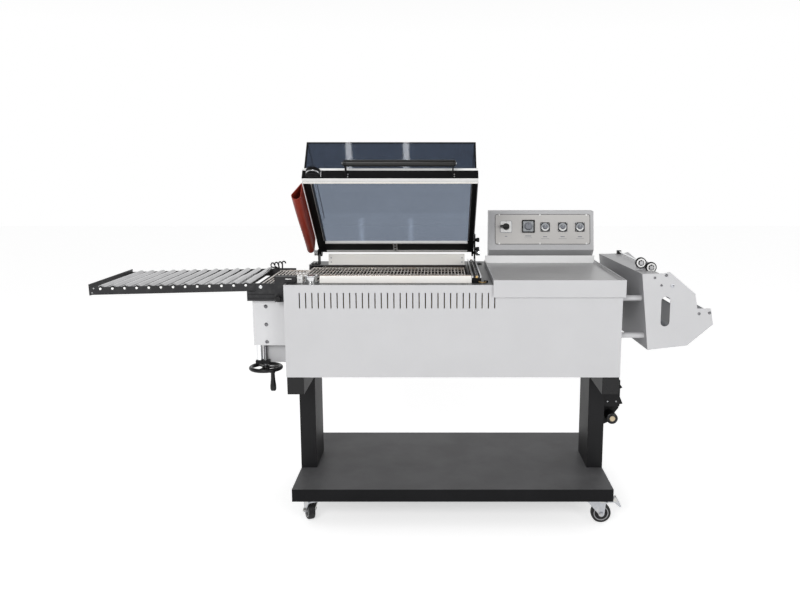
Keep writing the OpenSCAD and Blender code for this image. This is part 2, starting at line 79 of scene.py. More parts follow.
TIMERS = ((237.5, 96.0), (311.5, 96.0), (384.5, 96.0))
PIVOT_X, PIVOT_Z = -694.0, 905.0
TABLE_SLOPE = math.radians(1.4)
TABLE = CABINET @ Matrix.Translation((PIVOT_X, 0, PIVOT_Z)) @ Matrix.Rotation(-TABLE_SLOPE, 4, "Y")
DECK_Z = 921.0
SEAL_Z = 948.0
SHEET = 3
CABINET_SIDE, CABINET_BACK, CABINET_FLOOR = 600, 690, 585
HOOD_LEFT, HOOD_RIGHT = -552, 93
MAGNET_X = -512
CRADLE_FRONT, CRADLE_REAR = 10, 643
CASTORS = {
    "front_left": (-534, 72, 115),
    "front_right": (534, 72, 0),
    "rear_left": (-534, 591, 200),
    "rear_right": (534, 591, 40),
}


# ---- finishes ----

FINISHES = {}


def link(tree, a, b):
    tree.links.new(a, b)


def node(tree, kind, **inputs):
    """Add a node and set its inputs by name, or by number where the name starts with i."""
    made = tree.nodes.new(kind)
    for key, value in inputs.items():
        socket = int(key[1:]) if key[0] == "i" and key[1:].isdigit() else key
        made.inputs[socket].default_value = value
    return made


def noise(tree, place, scale, detail, roughness):
    """A noise at a place, and its value."""
    made = node(tree, "ShaderNodeTexNoise", Scale=scale, Detail=detail, Roughness=roughness)
    link(tree, place, made.inputs["Vector"])
    return made.outputs["Fac"]


def ramp(tree, source, low, high, start=0.0, end=1.0):
    """A value stretched from low..high to start..end."""
    made = node(tree, "ShaderNodeMapRange", i1=low, i2=high, i3=start, i4=end)
    link(tree, source, made.inputs[0])
    return made.outputs[0]


def mixed(tree, share, first, second, blend="MIX"):
    """Two colours mixed; each of them, and the share, is a plain value or another node's output."""
    mix = tree.nodes.new("ShaderNodeMix")
    mix.data_type = "RGBA"
    mix.blend_type = blend
    for socket, value in ((0, share), (6, first), (7, second)):
        if isinstance(value, bpy.types.NodeSocket):
            link(tree, value, mix.inputs[socket])
        else:
            mix.inputs[socket].default_value = (*value, 1.0) if socket else value
    return mix.outputs[2]


def finish(name, colour, rough, metal=0.0, grain=300.0, stretch=(1, 1, 1), depth=0.00004,
           mottle=0.08, dust=14.0, tint=None, painted_light_facing=None, spread=0.12, **shader):
    """A procedural finish, made once.

    Fine grain goes into the bump and a little of the colour; broad patches go into the colour and
    the roughness. `tint` adds stains at the scale `dust`. The facing option paints light or shade:
    it covers the faces that look one way with a lit or shaded colour, given as the axis, where the
    cover starts and is full, and its colour. Other names are sockets.
    """
    if name in FINISHES:
        return FINISHES[name]
    mat = bpy.data.materials.new(name)
    mat.use_nodes = True
    tree = mat.node_tree
    bsdf = tree.nodes["Principled BSDF"]
    bsdf.inputs["Metallic"].default_value = metal
    for key, value in shader.items():
        bsdf.inputs[key.replace("_", " ")].default_value = value
    place = tree.nodes.new("ShaderNodeTexCoord").outputs["Object"]
    scale = node(tree, "ShaderNodeMapping", Scale=stretch)
    link(tree, place, scale.inputs["Vector"])
    fine = noise(tree, scale.outputs["Vector"], grain, 5.0, 0.6)
    broad = noise(tree, place, 6.0, 6.0, 0.55)
    patches = ramp(tree, broad, 0.35, 0.62)
    out = mixed(tree, patches, [c * (1 - mottle) for c in colour], colour)
    grained = ramp(tree, fine, 0.3, 0.7, 0.72, 1.0)
    out = mixed(tree, min(1.0, mottle * 2.5), out, grained, "MULTIPLY")
    if tint:
        stains = ramp(tree, noise(tree, place, dust, 8.0, 0.7), 0.5, 0.72)
        out = mixed(tree, stains, out, tint)
    # painted light or shade: faces that look one way along the axis get a lit or shaded colour
    if painted_light_facing:
        axis, low, high, cover = painted_light_facing
        split = tree.nodes.new("ShaderNodeSeparateXYZ")
        link(tree, tree.nodes.new("ShaderNodeNewGeometry").outputs["Normal"], split.inputs[0])
        lit_or_shaded_layer = mixed(tree, patches, [c * (1 - mottle) for c in cover], cover)
        out = mixed(tree, ramp(tree, split.outputs[axis], low, high), out, lit_or_shaded_layer)
    link(tree, out, bsdf.inputs["Base Color"])
    worn = ramp(tree, broad, 0.0, 1.0, max(0.02, rough - spread / 2), rough + spread / 2)
    link(tree, worn, bsdf.inputs["Roughness"])
    bump = node(tree, "ShaderNodeBump", Distance=depth, Strength=1.0)
    link(tree, fine, bump.inputs["Height"])
    link(tree, bump.outputs["Normal"], bsdf.inputs["Normal"])
    FINISHES[name] = mat
    return mat


def make_finishes(look):
    """All finishes of the machine."""
    paint = tuple(look.paint)
    finish("grey_paint", paint, 0.42, grain=420, depth=0.00003, mottle=0.03, spread=0.1)
    finish("black_paint", (0.005, 0.005, 0.0055), 0.4, grain=500, depth=0.00005, mottle=0.2,
           Specular_IOR_Level=0.12)
    # base tray: near-black paint, with its upward faces lighter as painted light on the lit top
    finish("tray_black_painted_lit_top", (0.008, 0.008, 0.009), 0.46, grain=240, stretch=(0.3, 6, 6),
           depth=0.00006, mottle=0.25, painted_light_facing=(2, 0.5, 0.95, (0.115, 0.115, 0.118)),
           Specular_IOR_Level=0.1)
    # cradle paint: faces that look to -X get painted shade, where the cabinet shadows the side
    # sheet
    finish("cradle_paint_painted_shade", paint, 0.42, grain=420, depth=0.00003, mottle=0.03,
           painted_light_facing=(0, -0.4, -0.9, (0.27, 0.27, 0.28)))
    finish("charcoal_paint", tuple(look.charcoal), 0.5, grain=650, depth=0.00009, mottle=0.18,
           Specular_IOR_Level=0.16)
    finish("beam_grey", (0.027, 0.027, 0.029), 0.46, grain=600, depth=0.00006, mottle=0.25,
           tint=(0.042, 0.042, 0.042), dust=40, Specular_IOR_Level=0.25)
    finish("deck_grey", (0.07, 0.07, 0.073), 0.4, grain=420, depth=0.00004, mottle=0.12)
    finish("tray_steel", (0.51, 0.51, 0.515), 0.38, 0.75, grain=90, stretch=(9, 0.35, 9),
           depth=0.00004, mottle=0.14, spread=0.16)
    finish("jaw_cream", tuple(look.jaws), 0.4, grain=300, depth=0.00003, mottle=0.03,
           tint=(0.94, 0.90, 0.83), dust=4)
    # lighter copy of the grey paint for the tray's upstand: painted light against the control box's
    # shadow, standing in for a reflection
    finish("upstand_painted_light", (0.90, 0.90, 0.90), 0.3, grain=420, depth=0.00003, mottle=0.03)
    # paler copy of the grey paint for the lift cover's front: painted light against the roller
    # table's shade
    finish("lift_cover_painted_light", (0.58, 0.58, 0.59), 0.4, grain=420, depth=0.00003, mottle=0.03)
    finish("bright_steel", (0.80, 0.81, 0.82), 0.13, 1.0, grain=200, stretch=(1, 1, 6),
           depth=0.000008, mottle=0.05, spread=0.08)
    finish("zinc", (0.56, 0.57, 0.60), 0.34, 1.0, grain=120, depth=0.00003, mottle=0.18,
           tint=(0.60, 0.57, 0.48), dust=30)
    finish("dark_zinc", (0.22, 0.22, 0.23), 0.3, 1.0, grain=120, depth=0.00003, mottle=0.2)
    finish("roller_zinc", (0.56, 0.56, 0.57), 0.22, 1.0, grain=60, stretch=(12, 0.5, 12),
           depth=0.00003, mottle=0.2)
    finish("aluminium", (0.70, 0.70, 0.71), 0.33, 1.0, grain=80, stretch=(0.4, 10, 10),
           depth=0.00002, mottle=0.07)
    finish("tub_steel", (0.026, 0.019, 0.016), 0.5, 0.3, grain=60, depth=0.00004, mottle=0.3,
           tint=(0.03, 0.018, 0.012), dust=5)
    finish("element", (0.20, 0.17, 0.16), 0.5, 1.0, grain=240, depth=0.00006, mottle=0.3,
           tint=(0.28, 0.17, 0.12), dust=24)
    finish("motor_casting", (0.10, 0.11, 0.12), 0.55, 0.0, grain=160, depth=0.00025, mottle=0.2)
    finish("blower_sheet", (0.58, 0.59, 0.60), 0.38, 1.0, grain=90, depth=0.00003, mottle=0.12)
    finish("laminations", (0.10, 0.065, 0.045), 0.45, 0.6, grain=900, stretch=(1, 1, 0.05),
           depth=0.0002, mottle=0.3)
    finish("copper_winding", (0.45, 0.16, 0.06), 0.35, 0.9, grain=500, stretch=(0.05, 0.05, 1),
           depth=0.0003, mottle=0.25)
    finish("mesh_wire", (0.70, 0.66, 0.62), 0.3, 0.85, grain=120, depth=0.00003, mottle=0.15,
           tint=(0.50, 0.36, 0.26), dust=16)
    finish("silicone", tuple(look.curtain), 0.46, grain=700, depth=0.00006, mottle=0.22,
           tint=(0.36, 0.05, 0.026), dust=7, Coat_Weight=0.1, Coat_Roughness=0.35)
    finish("black_plastic", (0.006, 0.006, 0.0065), 0.28, grain=500, depth=0.00003, mottle=0.2,
           Specular_IOR_Level=0.3)
    finish("grip_rubber", (0.008, 0.008, 0.008), 0.3, grain=900, depth=0.00006, mottle=0.2,
           Specular_IOR_Level=0.35)
    finish("tyre_rubber", (0.010, 0.010, 0.011), 0.6, grain=400, depth=0.0001, mottle=0.25,
           tint=(0.04, 0.04, 0.038), dust=22, Specular_IOR_Level=0.25)
    finish("hub_plastic", (0.30, 0.30, 0.31), 0.5, grain=300, depth=0.00004, mottle=0.1)
    finish("fascia_grey", (0.56, 0.545, 0.53), 0.48, grain=800, depth=0.00002, mottle=0.05)
    finish("print_dark", (0.045, 0.045, 0.05), 0.5, grain=600, depth=0.00001, mottle=0.05)
    finish("print_white", (0.85, 0.85, 0.84), 0.45, grain=600, depth=0.00001, mottle=0.03)
    finish("dial_grey", (0.20, 0.21, 0.24), 0.4, grain=500, depth=0.00003, mottle=0.08)
    finish("meter_face", (0.40, 0.42, 0.44), 0.25, grain=300, depth=0.00001, mottle=0.08,
           Coat_Weight=0.6, Coat_Roughness=0.08)
    finish("white_plastic", (0.82, 0.82, 0.81), 0.35, grain=300, depth=0.00002, mottle=0.03)
    finish("sleeve_rubber", (0.22, 0.23, 0.25), 0.55, grain=500, depth=0.00006, mottle=0.12)
    finish("brass", (0.72, 0.50, 0.22), 0.28, 1.0, grain=200, depth=0.00002, mottle=0.15)
    finish("glass_tape", (0.42, 0.26, 0.13), 0.5, grain=1400, depth=0.00006, mottle=0.25)
    finish("ivory", (0.50, 0.41, 0.27), 0.4, grain=300, depth=0.00003, mottle=0.08)
    finish("smoked_acrylic", tuple(look.acrylic), 0.04, grain=40, depth=0.000004, mottle=0.04,
           spread=0.04, IOR=1.49, Transmission_Weight=1.0)


# ---- shapes ----

def axes_about(axis):
    """The axis as a unit vector, with two more at right angles to it."""
    direction = Vector(axis).normalized()
    across = direction.orthogonal().normalized()
    return direction, across, direction.cross(across)


class Shape:
    """Solids of one piece, in millimetres in the frame that `place` turns into the row frame."""

    def __init__(self, place=CABINET):
        self.mesh = bmesh.new()
        self.place = place
        self.finishes = []

    def paint(self, faces, name):
        if name not in self.finishes:
            self.finishes.append(name)
        for face in faces:
            face.material_index = self.finishes.index(name)

    def loft(self, rings, name, closed=True):
        """Join rings of points, and cap both ends unless the rings close on themselves."""
        rows = [[self.mesh.verts.new(p) for p in ring] for ring in rings]
        faces = []
        for a, b in zip(rows, rows[1:]):
            for i in range(len(a)):
                j = (i + 1) % len(a)
                faces.append(self.mesh.faces.new((a[i], a[j], b[j], b[i])))
        if closed:
            faces.append(self.mesh.faces.new(rows[0][::-1]))
            faces.append(self.mesh.faces.new(rows[-1]))
        self.paint(faces, name)

    def box(self, low, high, name):
        (x0, y0, z0), (x1, y1, z1) = low, high
        self.loft([[(x0, y0, z), (x1, y0, z), (x1, y1, z), (x0, y1, z)] for z in (z0, z1)], name)

    def prism(self, axis, outline, low, high, name):
        """An outline drawn out along an axis; its points are the other two axes in order."""
        def point(u, v, w):
            return {"X": (w, u, v), "Y": (u, w, v), "Z": (u, v, w)}[axis]
        self.loft([[point(u, v, w) for u, v in outline] for w in (low, high)], name)

    def lathe(self, at, axis, profile, name, sides=32):
        """Turn a profile of (along, radius) about an axis through `at`."""
        direction, across, third = axes_about(axis)
        start = Vector(at)
        rings = []
        for along, radius in profile:
            rings.append([
                start + direction * along
                + (across * math.cos(t) + third * math.sin(t)) * radius
                for t in (2 * math.pi * i / sides for i in range(sides))
            ])
        self.loft(rings, name)

    def rod(self, start, end, radius, name, sides=20, edge=0.0):
        """A round bar, with its end edges broken where `edge` is given."""
        a, b = Vector(start), Vector(end)
        length = (b - a).length
        profile = [(0, radius), (length, radius)]
        if edge:
            profile = [(0, radius - edge), (edge, radius), (length - edge, radius),
                       (length, radius - edge)]
        self.lathe(a, b - a, profile, name, sides)

    def ring(self, at, axis, major, minor, name, sides=40, round_sides=12):
        """A torus."""
        direction, across, third = axes_about(axis)
        rows = []
        for i in range(sides):
            t = 2 * math.pi * i / sides
            out = across * math.cos(t) + third * math.sin(t)
            rows.append([
                self.mesh.verts.new(Vector(at) + out * (major + minor * math.cos(s))
                                    + direction * minor * math.sin(s))
                for s in (2 * math.pi * k / round_sides for k in range(round_sides))
            ])
        faces = []
        for a, b in zip(rows, rows[1:] + rows[:1]):
            for k in range(round_sides):
                m = (k + 1) % round_sides
                faces.append(self.mesh.faces.new((a[k], a[m], b[m], b[k])))
        self.paint(faces, name)

    def wire(self, points, radius, name, sides=6):
        """A round wire along a list of points."""
        points = [Vector(p) for p in points]
        rings = []
        for i, p in enumerate(points):
            along = (points[min(i + 1, len(points) - 1)] - points[max(i - 1, 0)]).normalized()
            up = Vector((0, 0, 1)) if abs(along.z) < 0.9 else Vector((1, 0, 0))
            side = along.cross(up).normalized()
            up = side.cross(along)
            rings.append([
                p + (side * math.cos(t) + up * math.sin(t)) * radius
                for t in (2 * math.pi * k / sides for k in range(sides))
            ])
        self.loft(rings, name)

    def screw(self, at, axis, radius, name="zinc", washer=0.0):
        """A button head with a hexagon socket, standing on its point along its axis."""
        height = radius * 0.55
        if washer:
            self.lathe(at, axis, [(0, washer), (0.8, washer), (1.0, washer - 0.3)], name, 24)
        base = 0.9 if washer else 0.0
        self.lathe(at, axis, [
            (base, radius), (base + height * 0.35, radius), (base + height * 0.8, radius * 0.8),
            (base + height, radius * 0.5), (base + height * 0.5, radius * 0.42),
            (base + height * 0.4, radius * 0.1)], name, 18)

    def hexagon(self, at, axis, radius, height, name="zinc"):
        """A hexagon nut or bolt head with its corners turned down."""
        self.lathe(at, axis, [(0, radius), (height * 0.8, radius), (height, radius * 0.86)],
                   name, 6)

    def piece(self, name, body, bevel=0.0, replaces=(), angle=35.0):
        """Finish the piece: smooth it, break its edges and hang it on its body."""
        bmesh.ops.recalc_face_normals(self.mesh, faces=self.mesh.faces)
        mesh = bpy.data.meshes.new(name)
        self.mesh.transform(self.place)
        self.mesh.to_mesh(mesh)
        self.mesh.free()
        obj = bpy.data.objects.new(name, mesh)
        bpy.context.scene.collection.objects.link(obj)
        for key in self.finishes:
            mesh.materials.append(FINISHES[key])
        dress(obj, bevel, angle)
        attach(obj, body)
        if replaces:
            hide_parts(*replaces)
        return obj


def break_edges(obj, bevel, angle):
    """A small bevel, in millimetres, on the edges sharper than the angle in degrees."""
    edges = obj.modifiers.new("edges", "BEVEL")
    edges.width = bevel * MM
    edges.segments = 2
    edges.limit_method = "ANGLE"
    edges.angle_limit = math.radians(angle)
    edges.use_clamp_overlap = True
    edges.harden_normals = True


def dress(obj, bevel, angle=35.0):
    """Smooth shading with sharp corners, and broken edges where a bevel is given."""
    mesh = obj.data
    mesh.polygons.foreach_set("use_smooth", [True] * len(mesh.polygons))
    mesh.set_sharp_from_angle(angle=math.radians(angle))
    if bevel:
        break_edges(obj, bevel, angle)


def coat(name, material, bevel=0.0):
    """Give a CAD node its finish, and break its edges."""
    obj = frame["nodes"][name]
    obj.data.materials.clear()
    obj.data.materials.append(FINISHES[material])
    if bevel:
        break_edges(obj, bevel, 40.0)


def turned(x, y, z, degrees):
    """A frame at a point of the cabinet, turned about Z."""
    return CABINET @ Matrix.Translation((x, y, z)) @ Matrix.Rotation(math.radians(degrees), 4, "Z")


# ---- settings ----

class WrapperLook(bpy.types.PropertyGroup):
    """Colours of the machine."""

    paint: bpy.props.FloatVectorProperty(
        name="Cabinet paint", description="Light powder coat of the cabinet", size=3,
        subtype="COLOR", default=(0.49, 0.49, 0.50), min=0, max=1)
    charcoal: bpy.props.FloatVectorProperty(
        name="Stand paint", description="Dark textured coat of the stand and the rails", size=3,
        subtype="COLOR", default=(0.012, 0.012, 0.013), min=0, max=1)
    jaws: bpy.props.FloatVectorProperty(
        name="Sealing jaws", description="Heat resistant coat of the jaws", size=3,
        subtype="COLOR", default=(0.93, 0.915, 0.88), min=0, max=1)
    curtain: bpy.props.FloatVectorProperty(
        name="Exit curtain", description="Silicone sheet at the hood's left edge", size=3,
        subtype="COLOR", default=(0.29, 0.032, 0.017), min=0, max=1)
    acrylic: bpy.props.FloatVectorProperty(
        name="Hood", description="Tint of the acrylic", size=3,
        subtype="COLOR", default=(0.205, 0.24, 0.30), min=0, max=1)


class WrapperSizes(bpy.types.PropertyGroup):
    """Sizes of the small parts."""

    wire: bpy.props.FloatProperty(
        name="Mesh wire", description="Diameter of the mesh's wires in millimetres",
        default=4.6, min=1.0, max=5.0)
    wire_pitch: bpy.props.FloatProperty(
        name="Mesh pitch", description="Distance between the mesh's wires in millimetres",
        default=13.6, min=8.0, max=25.0)
    bevel: bpy.props.FloatProperty(
        name="Edge radius", description="Rounding of sheet metal edges in millimetres",
        default=0.8, min=0.2, max=2.0)
    key_light: bpy.props.FloatProperty(
        name="Main light", description="Power of the main studio light", unit="POWER",
        default=120.0, min=10.0, max=1000.0)


class WrapperPiece:
    """What the operators share."""

    bl_options = {"REGISTER", "UNDO"}

    def execute(self, context):
        self.build(context.scene.wrapper_look, context.scene.wrapper_sizes)
        return {"FINISHED"}


# ---- cabinet and stand ----

class WRAPPER_OT_cabinet(WrapperPiece, bpy.types.Operator):
    """Cabinet sheets, the back with its cover and louvres, and the lining behind the slots"""

    bl_idname = "wrapper.cabinet"
    bl_label = "Cabinet"

    def build(self, look, sizes):
        coat("front_panel", "grey_paint", 0.6)
        inner, back, floor = CABINET_SIDE - SHEET, CABINET_BACK - SHEET, CABINET_FLOOR + SHEET
        shell = Shape()
        for side in (-1, 1):
            x0, x1 = sorted((side * inner, side * CABINET_SIDE))
            if side > 0:
                shell.box((x0, SHEET, CABINET_FLOOR), (x1, CABINET_BACK, DECK_Z), "grey_paint")
            else:
                # the left sheet has a notch for the mesh platform
                shell.prism("X", [(SHEET, CABINET_FLOOR), (CABINET_BACK, CABINET_FLOOR),
                                  (CABINET_BACK, DECK_Z), (564, DECK_Z), (564, 897),
                                  (84, 897), (84, DECK_Z), (SHEET, DECK_Z)], x0, x1, "grey_paint")
        shell.box((-inner, SHEET, CABINET_FLOOR), (inner, back, floor), "grey_paint")
        # the back: a frame, a recessed cover and its two fields of louvres
        low, high, side = 628, 878, 540
        for x0, x1, z0, z1 in ((-inner, inner, floor, low), (-inner, inner, high, DECK_Z),
                               (-inner, -side, low, high), (side, inner, low, high)):
            shell.box((x0, back, z0), (x1, CABINET_BACK, z1), "grey_paint")
        shell.box((1 - side, back - 1.5, low + 1), (side - 1, back + 1, high - 1), "grey_paint")
        for x0 in (-470, 250):
            for i in range(9):
                z = 680 + i * 18
                shell.prism("X", [(688, z), (689.6, z), (688, z + 9)], x0, x0 + 220, "grey_paint")
                shell.box((x0 + 3, 687.9, z - 2.2), (x0 + 217, 688.1, z), "print_dark")
        for x in (-525, -180, 180, 525):
            for z in (642, 864):
                shell.screw((x, 688, z), (0, 1, 0), 4.2)
        # cable gland, low on the back
        shell.lathe((300, 671, 608), (0, 1, 0), [(0, 13), (16, 13)], "black_plastic", 12)
        shell.ring((300, 689, 608), (0, 1, 0), 9.6, 1.0, "black_plastic", 36, 8)
        shell.lathe((300, 689.9, 608), (0, 1, 0), [(0, 6.5), (0.1, 6.5)], "print_dark", 24)
        shell.piece("cabinet_sheets", MACHINE, sizes.bevel * 0.7, ("cabinet_shell",))
        liner = Shape()
        liner.box((-560, 70, 700), (200, 86, 905), "glass_tape")
        liner.piece("insulation_blanket", MACHINE, 5.0)


class WRAPPER_OT_stand(WrapperPiece, bpy.types.Operator):
    """Base tray, posts and beams, with their welds and end plugs"""

    bl_idname = "wrapper.stand"
    bl_label = "Stand"

    def build(self, look, sizes):
        # the tray's upward faces get a lighter colour: painted light on the lit top
        coat("base_tray", "tray_black_painted_lit_top", 1.6)
        coat("stand_frame", "charcoal_paint", 2.2)
        welds = Shape()
        for side in (-1, 1):
            # beads between post and beam
            x = side * 566
            welds.wire([(x - 30, 231.4, 520.6), (x, 231.2, 520.9), (x + 30, 231.4, 520.6)], 1.6,
                       "charcoal_paint")
        welds.piece("stand_welds", MACHINE)
        plugs = Shape()
        for side in (-1, 1):
            for y0, y1 in ((0.2, 2), (680, 682)):
                plugs.box((side * 568 - 29, y0, 523), (side * 568 + 29, y1, 583), "black_plastic")
        plugs.piece("beam_end_plugs", MACHINE, 0.7)


class WRAPPER_OT_castors(WrapperPiece, bpy.types.Operator):
    """Castors: zinc forks, tyres on plastic hubs, nuts, swivel races and brake pedals"""

    bl_idname = "wrapper.castors"
    bl_label = "Castors"

    def build(self, look, sizes):
        for name, (x, y, turn) in CASTORS.items():
            coat(f"castor_fork_{name}", "zinc", 0.5)
            fork = Shape(turned(x, y, 0, turn))
            for s in (-1, 1):
                fork.hexagon((29, s * 19, 37.5), (0, s, 0), 9.5, 5.5)
                fork.rod((29, s * 24, 37.5), (29, s * 27, 37.5), 4.6, "zinc", 14, 0.8)
            fork.ring((0, 0, 95), (0, 0, 1), 25.2, 1.4, "zinc", 36, 8)
            fork.lathe((0, 0, 97.5), (0, 0, 1), [(0, 20), (2, 22), (5.6, 22), (5.9, 20)],
                       "bright_steel", 32)
            fork.piece(f"fork_fittings_{name}", f"fork_{name}")
            wheel = Shape(turned(x, y, 0, turn) @ Matrix.Translation((29, 0, 37.5)))
            tread = [(-11.5, 27), (-12.6, 31), (-12.2, 35), (-9.8, 37.1), (-5, 37.5), (5, 37.5),
                     (9.8, 37.1), (12.2, 35), (12.6, 31), (11.5, 27)]
            wheel.lathe((0, 0, 0), (0, 1, 0), tread, "tyre_rubber", 48)
            hub = [(-15, 5.1), (-15, 10.5), (-11, 11.5), (-10.6, 24), (-12.2, 25.5), (-12.2, 28),
                   (12.2, 28), (12.2, 25.5), (10.6, 24), (11, 11.5), (15, 10.5), (15, 5.1)]
            wheel.lathe((0, 0, 0), (0, 1, 0), hub, "hub_plastic", 40)
            for s in (-1, 1):
                for k in range(5):
                    t = 2 * math.pi * k / 5
                    wheel.rod((math.cos(t) * 17.5, s * 10.2, math.sin(t) * 17.5),
                              (math.cos(t) * 17.5, s * 11.4, math.sin(t) * 17.5), 3.6,
                              "print_dark", 14)
            wheel.piece(f"castor_tyre_{name}", f"wheel_{name}", 0.0, (f"castor_wheel_{name}",))
        for side in ("left", "right"):
            coat(f"brake_pedal_{side}", "zinc", 1.0)
            x, y, turn = CASTORS[f"front_{side}"]
            pad = Shape(turned(x, y, 0, turn))
            for k in range(4):
                u, z = 84.6 + k * 4.4, 99.6 - k * 7.6
                pad.rod((u, -8, z), (u, 8, z), 1.3, "black_plastic", 10)
            pad.piece(f"pedal_ribs_{side}", f"pedal_{side}")


# ---- deck, chamber and jaws ----

class WRAPPER_OT_deck(WrapperPiece, bpy.types.Operator):
    """Top deck, side jaw channel, front and rear jaws with their tape and wire, and the magnet"""

    bl_idname = "wrapper.deck"
    bl_label = "Deck and jaws"

    def build(self, look, sizes):
        deck = Shape()
        z0, z1 = DECK_Z - SHEET, DECK_Z
        inner, back = CABINET_SIDE - SHEET, CABINET_BACK - SHEET
        # the opening of the chamber lies between these and reaches the left end
        near, far, right = 87.8, 560.2, 64.2
        deck.box((-inner, SHEET, z0), (inner, near, z1), "deck_grey")
        deck.box((-inner, far, z0), (inner, back, z1), "deck_grey")
        deck.box((right, near, z0), (inner, far, z1), "deck_grey")
        # side jaw: a black channel with a pale edge on each side
        deck.box((68, 50, z1), (101, 560, z1 + 18), "black_paint")
        for x0, x1, tone in ((68, 72, "aluminium"), (96.5, 101, "aluminium")):
            deck.box((x0, 50, z1 + 18), (x1, 560, SEAL_Z - 1), tone)
        deck.box((79, 54, z1 + 18), (90, 556, z1 + 23), "black_plastic")
        deck.box((80, 56, z1 + 23), (89, 554, z1 + 24.4), "tub_steel")
        deck.rod((84.5, 55, z1 + 24.6), (84.5, 555, z1 + 24.6), 0.6, "bright_steel", 8)
        for y in (56, 548):
            deck.box((80.5, y - 5, z1 + 18), (88.5, y + 5, z1 + 25.2), "brass")
            deck.screw((84.5, y, z1 + 25.2), (0, 0, 1), 0.9, "bright_steel")
        for y in (70, 180, 300, 420, 540):
            deck.screw((93.4, y, z1 + 18), (0, 0, 1), 2.6)
        # cable end that leaves the side jaw
        deck.wire([(92, 47.5, z1 + 5), (97, 43, z1 + 4), (104, 40, z1 + 3), (112, 44, z1 + 2.6),
                   (117, 52, z1 + 2.4), (118, 64, z1 + 2.3)], 2.2, "brass", 10)
        deck.lathe((118, 66, z1), (0, 0, 1), [(0, 8), (6, 8), (8, 6.5)], "black_plastic", 24)
        deck.piece("deck_sheet", MACHINE, 0.5, ("top_deck",))
        jaws = Shape()
        # front jaw: body, silicone pad, tape and sealing wire
        jaws.box((-479, 50, z1), (66, 82, SEAL_Z - 5), "jaw_cream")
        jaws.box((-478, 52, SEAL_Z - 5), (65, 80, SEAL_Z - 1.8), "jaw_cream")
        jaws.box((-476, 60, SEAL_Z - 1.8), (63, 72, SEAL_Z - 1.2), "glass_tape")
        jaws.rod((-477, 66, SEAL_Z - 1.3), (64, 66, SEAL_Z - 1.3), 0.5, "bright_steel", 8)
        for x in (-477, 64.4):
            x0 = x - 3 if x > 0 else x
            jaws.box((x0, 61, SEAL_Z - 4), (x if x > 0 else x + 3, 71, SEAL_Z - 1), "brass")
        # rear wall: a folded sheet
        jaws.box((-516, 562, z1), (57, 565, SEAL_Z + 18), "jaw_cream")
        jaws.box((-516, 565, SEAL_Z + 15), (57, 578, SEAL_Z + 18), "jaw_cream")
        jaws.box((-516, 565, z1), (57, 578, z1 + 3), "jaw_cream")
        for x in (-505, 46):
            jaws.screw((x, 562, z1 + 30), (0, -1, 0), 3.0)
            jaws.screw((x, 562, z1 + 12), (0, -1, 0), 3.0)
        jaws.piece("sealing_jaws", MACHINE, 0.5, ("lower_jaws",))
        magnet = Shape()
        magnet.lathe((MAGNET_X, 68, z1), (0, 0, 1), [(0, 24), (3, 24), (3.5, 22.6), (20, 22.6),
                     (21, 24), (24.2, 24), (25, 23.2)], "bright_steel", 48)
        magnet.lathe((MAGNET_X, 68, z1 + 24.9), (0, 0, 1), [(0, 16.5), (0.15, 16.5)],
                     "print_dark", 40)
        magnet.lathe((MAGNET_X, 68, z1 + 24.95), (0, 0, 1), [(0, 9), (0.2, 9)], "bright_steel", 32)
        magnet.box((-560, 52, z1), (-541, 76, z1 + 23), "white_plastic")
        magnet.screw((-550.5, 52, z1 + 12), (0, -1, 0), 2.6, "zinc")
        magnet.piece("hood_magnet", MACHINE, 0.6, ("holding_magnet",))


class WRAPPER_OT_chamber(WrapperPiece, bpy.types.Operator):
    """What is inside the cabinet: tub, elements, blower, motor and transformer"""

    bl_idname = "wrapper.chamber"
    bl_label = "Shrink chamber"

    def build(self, look, sizes):
        coat("chamber_tub", "tub_steel", 0.8)
        coat("heater_elements", "element")
        coat("fan_motor", "motor_casting", 2.0)
        coat("blower_wheel", "blower_sheet", 0.3)
        coat("sealing_transformer", "laminations", 0.6)
        inside = Shape()
        for y in (130, 170, 220, 260, 390, 430, 480, 520):
            inside.lathe((44, y, 820), (1, 0, 0), [(0, 8), (5, 8), (6, 10), (16, 10)],
                         "white_plastic", 20)
            inside.rod((-200, y - 7, 813.5), (-200, y + 7, 813.5), 1.5, "zinc", 8)
        for k in range(4):
            t = math.pi / 4 + k * math.pi / 2
            inside.hexagon((-238 + 66 * math.cos(t), 324 + 66 * math.sin(t), 700), (0, 0, 1), 5, 3)
        for k in range(10):
            inside.ring((-238, 324, 612 + k * 7), (0, 0, 1), 60, 1.4, "motor_casting", 36, 6)
        inside.piece("chamber_fittings", MACHINE)
        coil = Shape()
        for x in (324, 372):
            coil.box((x - 2, 186, 615), (x + 24, 200, 671), "copper_winding")
            for k in range(9):
                coil.ring((x + 11, 193, 618 + k * 6), (0, 0, 1), 14, 1.6, "copper_winding", 24, 6)
        coil.piece("transformer_windings", MACHINE, 2.5)


# ---- hood ----

